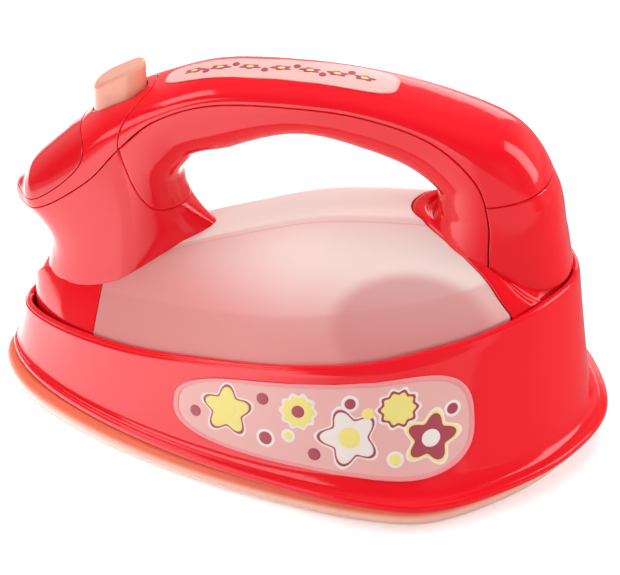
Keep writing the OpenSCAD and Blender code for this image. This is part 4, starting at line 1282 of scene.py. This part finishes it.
makeLabel("nearLabel", "near_side_label", sideSpot(-1), label["sidePower"], sideMotifs,
          label["rim"])
makeLabel("farLabel", "far_side_label", sideSpot(1), label["sidePower"], sideMotifs, label["rim"])
makeLabel("gripLabel", "handle_label", gripSpot, label["gripPower"], gripMotifs, None)
print("labels made")

# CAD nodes that stay, by material
nodeMaterials = {
    blackPlastic: ("switch_plunger", "switch_body", "board_chips"),
    boardGreen: ("switch_board", "main_board"), greyBox: ("battery_box", "speaker_ring"),
    cellJacket: ("cells",), peachGloss: ("battery_door",), lampClear: ("lamps",),
    speakerCone: ("loudspeaker",),
    steel: ("contact_springs", "contact_plates", "door_screw", "sole_screws", "handle_screws"),
}
for material, nodes in nodeMaterials.items():
    for node in nodes:
        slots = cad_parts[node].data.materials
        slots.clear()
        slots.append(material)

# Places and sizes of the studio are in metres. As in a tent that is lit from the left, the floor
# is bright at the left of the iron and dim at the right. The inset is in millimetres.
studio = {"floor": (0.93, 0.93, 0.93), "roughness": 0.9, "height": 0.00003, "inset": 1.0,
          "size": 3.0, "lift": 0.32, "left": 3.3, "right": 0.35, "leftAt": -0.09, "rightAt": 0.05,
          "front": 0.9, "frontFrom": -0.14, "frontTo": -0.19, "farLeft": -0.5, "nearLeft": -0.22,
          "farLeast": 0.1}


def floorShine(tree):
    # What a reflection sees of the floor: bright at the left but not far off, and paler in front
    x, y, _ = axesOf(tree, "ShaderNodeNewGeometry", "Position")
    left = ranged(tree, x, (studio["leftAt"], studio["rightAt"]), (studio["left"], studio["right"]))
    near = ranged(tree, x, (studio["farLeft"], studio["nearLeft"]), (studio["farLeast"], 1.0))
    front = ranged(tree, y, (studio["frontTo"], studio["frontFrom"]), (studio["front"], 0.0))
    return combined(tree, "MAXIMUM", combined(tree, "MULTIPLY", left, near), front)


def makeFloor():
    # A square sheet from a loop inside the sole's outline outwards. It is open under the sole, and
    # a hair above its underside, so that a view from below shows the sole and its door.
    u, side = around(sole["around"])
    inner = mirrorLoop(ringAt(u, -sole["edge"] - studio["inset"], 0), side)[:, :2] * mm
    outer = inner * (studio["size"] / 2 / np.abs(inner).max(axis=1))[:, None]
    sheet = np.concatenate([outer, inner])
    points = np.column_stack([sheet, np.full(len(sheet), studio["height"])]) / mm
    floor = placed("floor", newMesh("floor", points, gridFaces(2, len(inner), closeCols=True)))
    material = bpy.data.materials.new("paleFloor")
    material.use_nodes = True
    tree = material.node_tree
    shader = tree.nodes["Principled BSDF"]
    shader.inputs["Roughness"].default_value = studio["roughness"]
    shader.inputs["Base Color"].default_value = (*studio["floor"], 1)
    shader.inputs["Emission Color"].default_value = (1, 1, 1, 1)
    path = addNode(tree, "ShaderNodeLightPath")
    # The camera sees the floor nearly white, and its shadow stays
    lift = combined(tree, "MULTIPLY", path.outputs["Is Camera Ray"], studio["lift"])
    tree.links.new(lift, shader.inputs["Emission Strength"])
    shine = addNode(tree, "ShaderNodeEmission")
    tree.links.new(floorShine(tree), shine.inputs["Strength"])
    seen = addNode(tree, "ShaderNodeMixShader")
    tree.links.new(path.outputs["Is Glossy Ray"], seen.inputs["Fac"])
    tree.links.new(shader.outputs["BSDF"], seen.inputs[1])
    tree.links.new(shine.outputs["Emission"], seen.inputs[2])
    tree.links.new(seen.outputs["Shader"], tree.nodes["Material Output"].inputs["Surface"])
    floor.data.materials.append(material)


def areaLight(name, place, aim, size, power, shine=True):
    # Soft rectangular lamp that faces its aim. A fill lamp without shine shows in no reflection.
    data = bpy.data.lights.new(name, "AREA")
    data.shape = "RECTANGLE"
    data.size, data.size_y = size
    data.energy = power
    lamp = placed(name, data)
    lamp.location = place
    lamp.visible_glossy = shine
    lamp.rotation_euler = (Vector(aim) - Vector(place)).to_track_quat("-Z", "Y").to_euler()


makeFloor()
areaLight("frontLeft", (-0.60, -0.71, 0.40), (0, 0, 0.06), (0.6, 0.5), 2.9)
areaLight("leftHigh", (-0.62, -0.05, 0.85), (0, 0, 0.06), (0.45, 0.36), 2.1)
areaLight("rightTall", (0.86, 0.23, 0.52), (0, 0, 0.08), (0.42, 0.8), 4.6)
areaLight("rearLow", (0.08, 1.0, 0.38), (0, 0, 0.06), (0.5, 0.4), 1.6)
areaLight("overhead", (0.0, -0.1, 1.2), (0, 0, 0.05), (1.2, 1.2), 8.5, shine=False)
areaLight("rearFill", (-0.1, 0.9, 0.80), (0, 0, 0.06), (0.8, 0.6), 6.2, shine=False)
areaLight("rightFill", (0.62, -0.75, 0.30), (0, 0, 0.05), (0.5, 0.5), 1.6, shine=False)

tent = {"level": 0.6, "zenith": 0.2, "low": 0.05, "high": 0.7, "front": 0.3, "frontAt": -0.3,
        "rearAt": 0.3}


def makeTent():
    # A tent that is dim in front and above and bright at the rear. The camera sees plain white.
    world = bpy.data.worlds.new("studio")
    world.use_nodes = True
    bpy.context.scene.world = world
    tree = world.node_tree
    background = tree.nodes["Background"]
    background.inputs["Color"].default_value = (1, 1, 1, 1)
    _, y, z = axesOf(tree, "ShaderNodeTexCoord", "Generated")
    fadeUp = ranged(tree, z, (tent["low"], tent["high"]), (tent["level"], tent["zenith"]))
    fadeFront = ranged(tree, y, (tent["frontAt"], tent["rearAt"]), (tent["front"], 1.0))
    strength = addNode(tree, "ShaderNodeMix", data_type="FLOAT")
    tree.links.new(combined(tree, "MULTIPLY", fadeUp, fadeFront), strength.inputs["A"])
    strength.inputs["B"].default_value = 1.0
    path = addNode(tree, "ShaderNodeLightPath")
    tree.links.new(path.outputs["Is Camera Ray"], strength.inputs["Factor"])
    tree.links.new(strength.outputs["Result"], background.inputs["Strength"])


makeTent()

cameraView = {"azimuth": 13.0, "elevation": 33.0, "distance": 0.9, "target": (0, 0, 0.055),
              "lens": 174.54, "sensor": 36.0, "near": 0.01, "shiftX": 0.01253,
              "shiftY": -0.07153}


def makeCamera():
    # The photograph's view: a turn about the iron, an angle up and a distance.
    a, e = math.radians(cameraView["azimuth"]), math.radians(cameraView["elevation"])
    back = np.array([math.sin(a) * math.cos(e), -math.cos(a) * math.cos(e), math.sin(e)])
    data = bpy.data.cameras.new("view")
    data.lens, data.sensor_width = cameraView["lens"], cameraView["sensor"]
    data.shift_x, data.shift_y = cameraView["shiftX"], cameraView["shiftY"]
    data.clip_start = cameraView["near"]
    camera = placed("view", data)
    camera.location = np.array(cameraView["target"]) + back * cameraView["distance"]
    camera.rotation_euler = (math.pi / 2 - e, 0, a)
    bpy.context.scene.camera = camera


makeCamera()
bpy.context.scene.view_settings.view_transform = "Standard"
print("studio made")
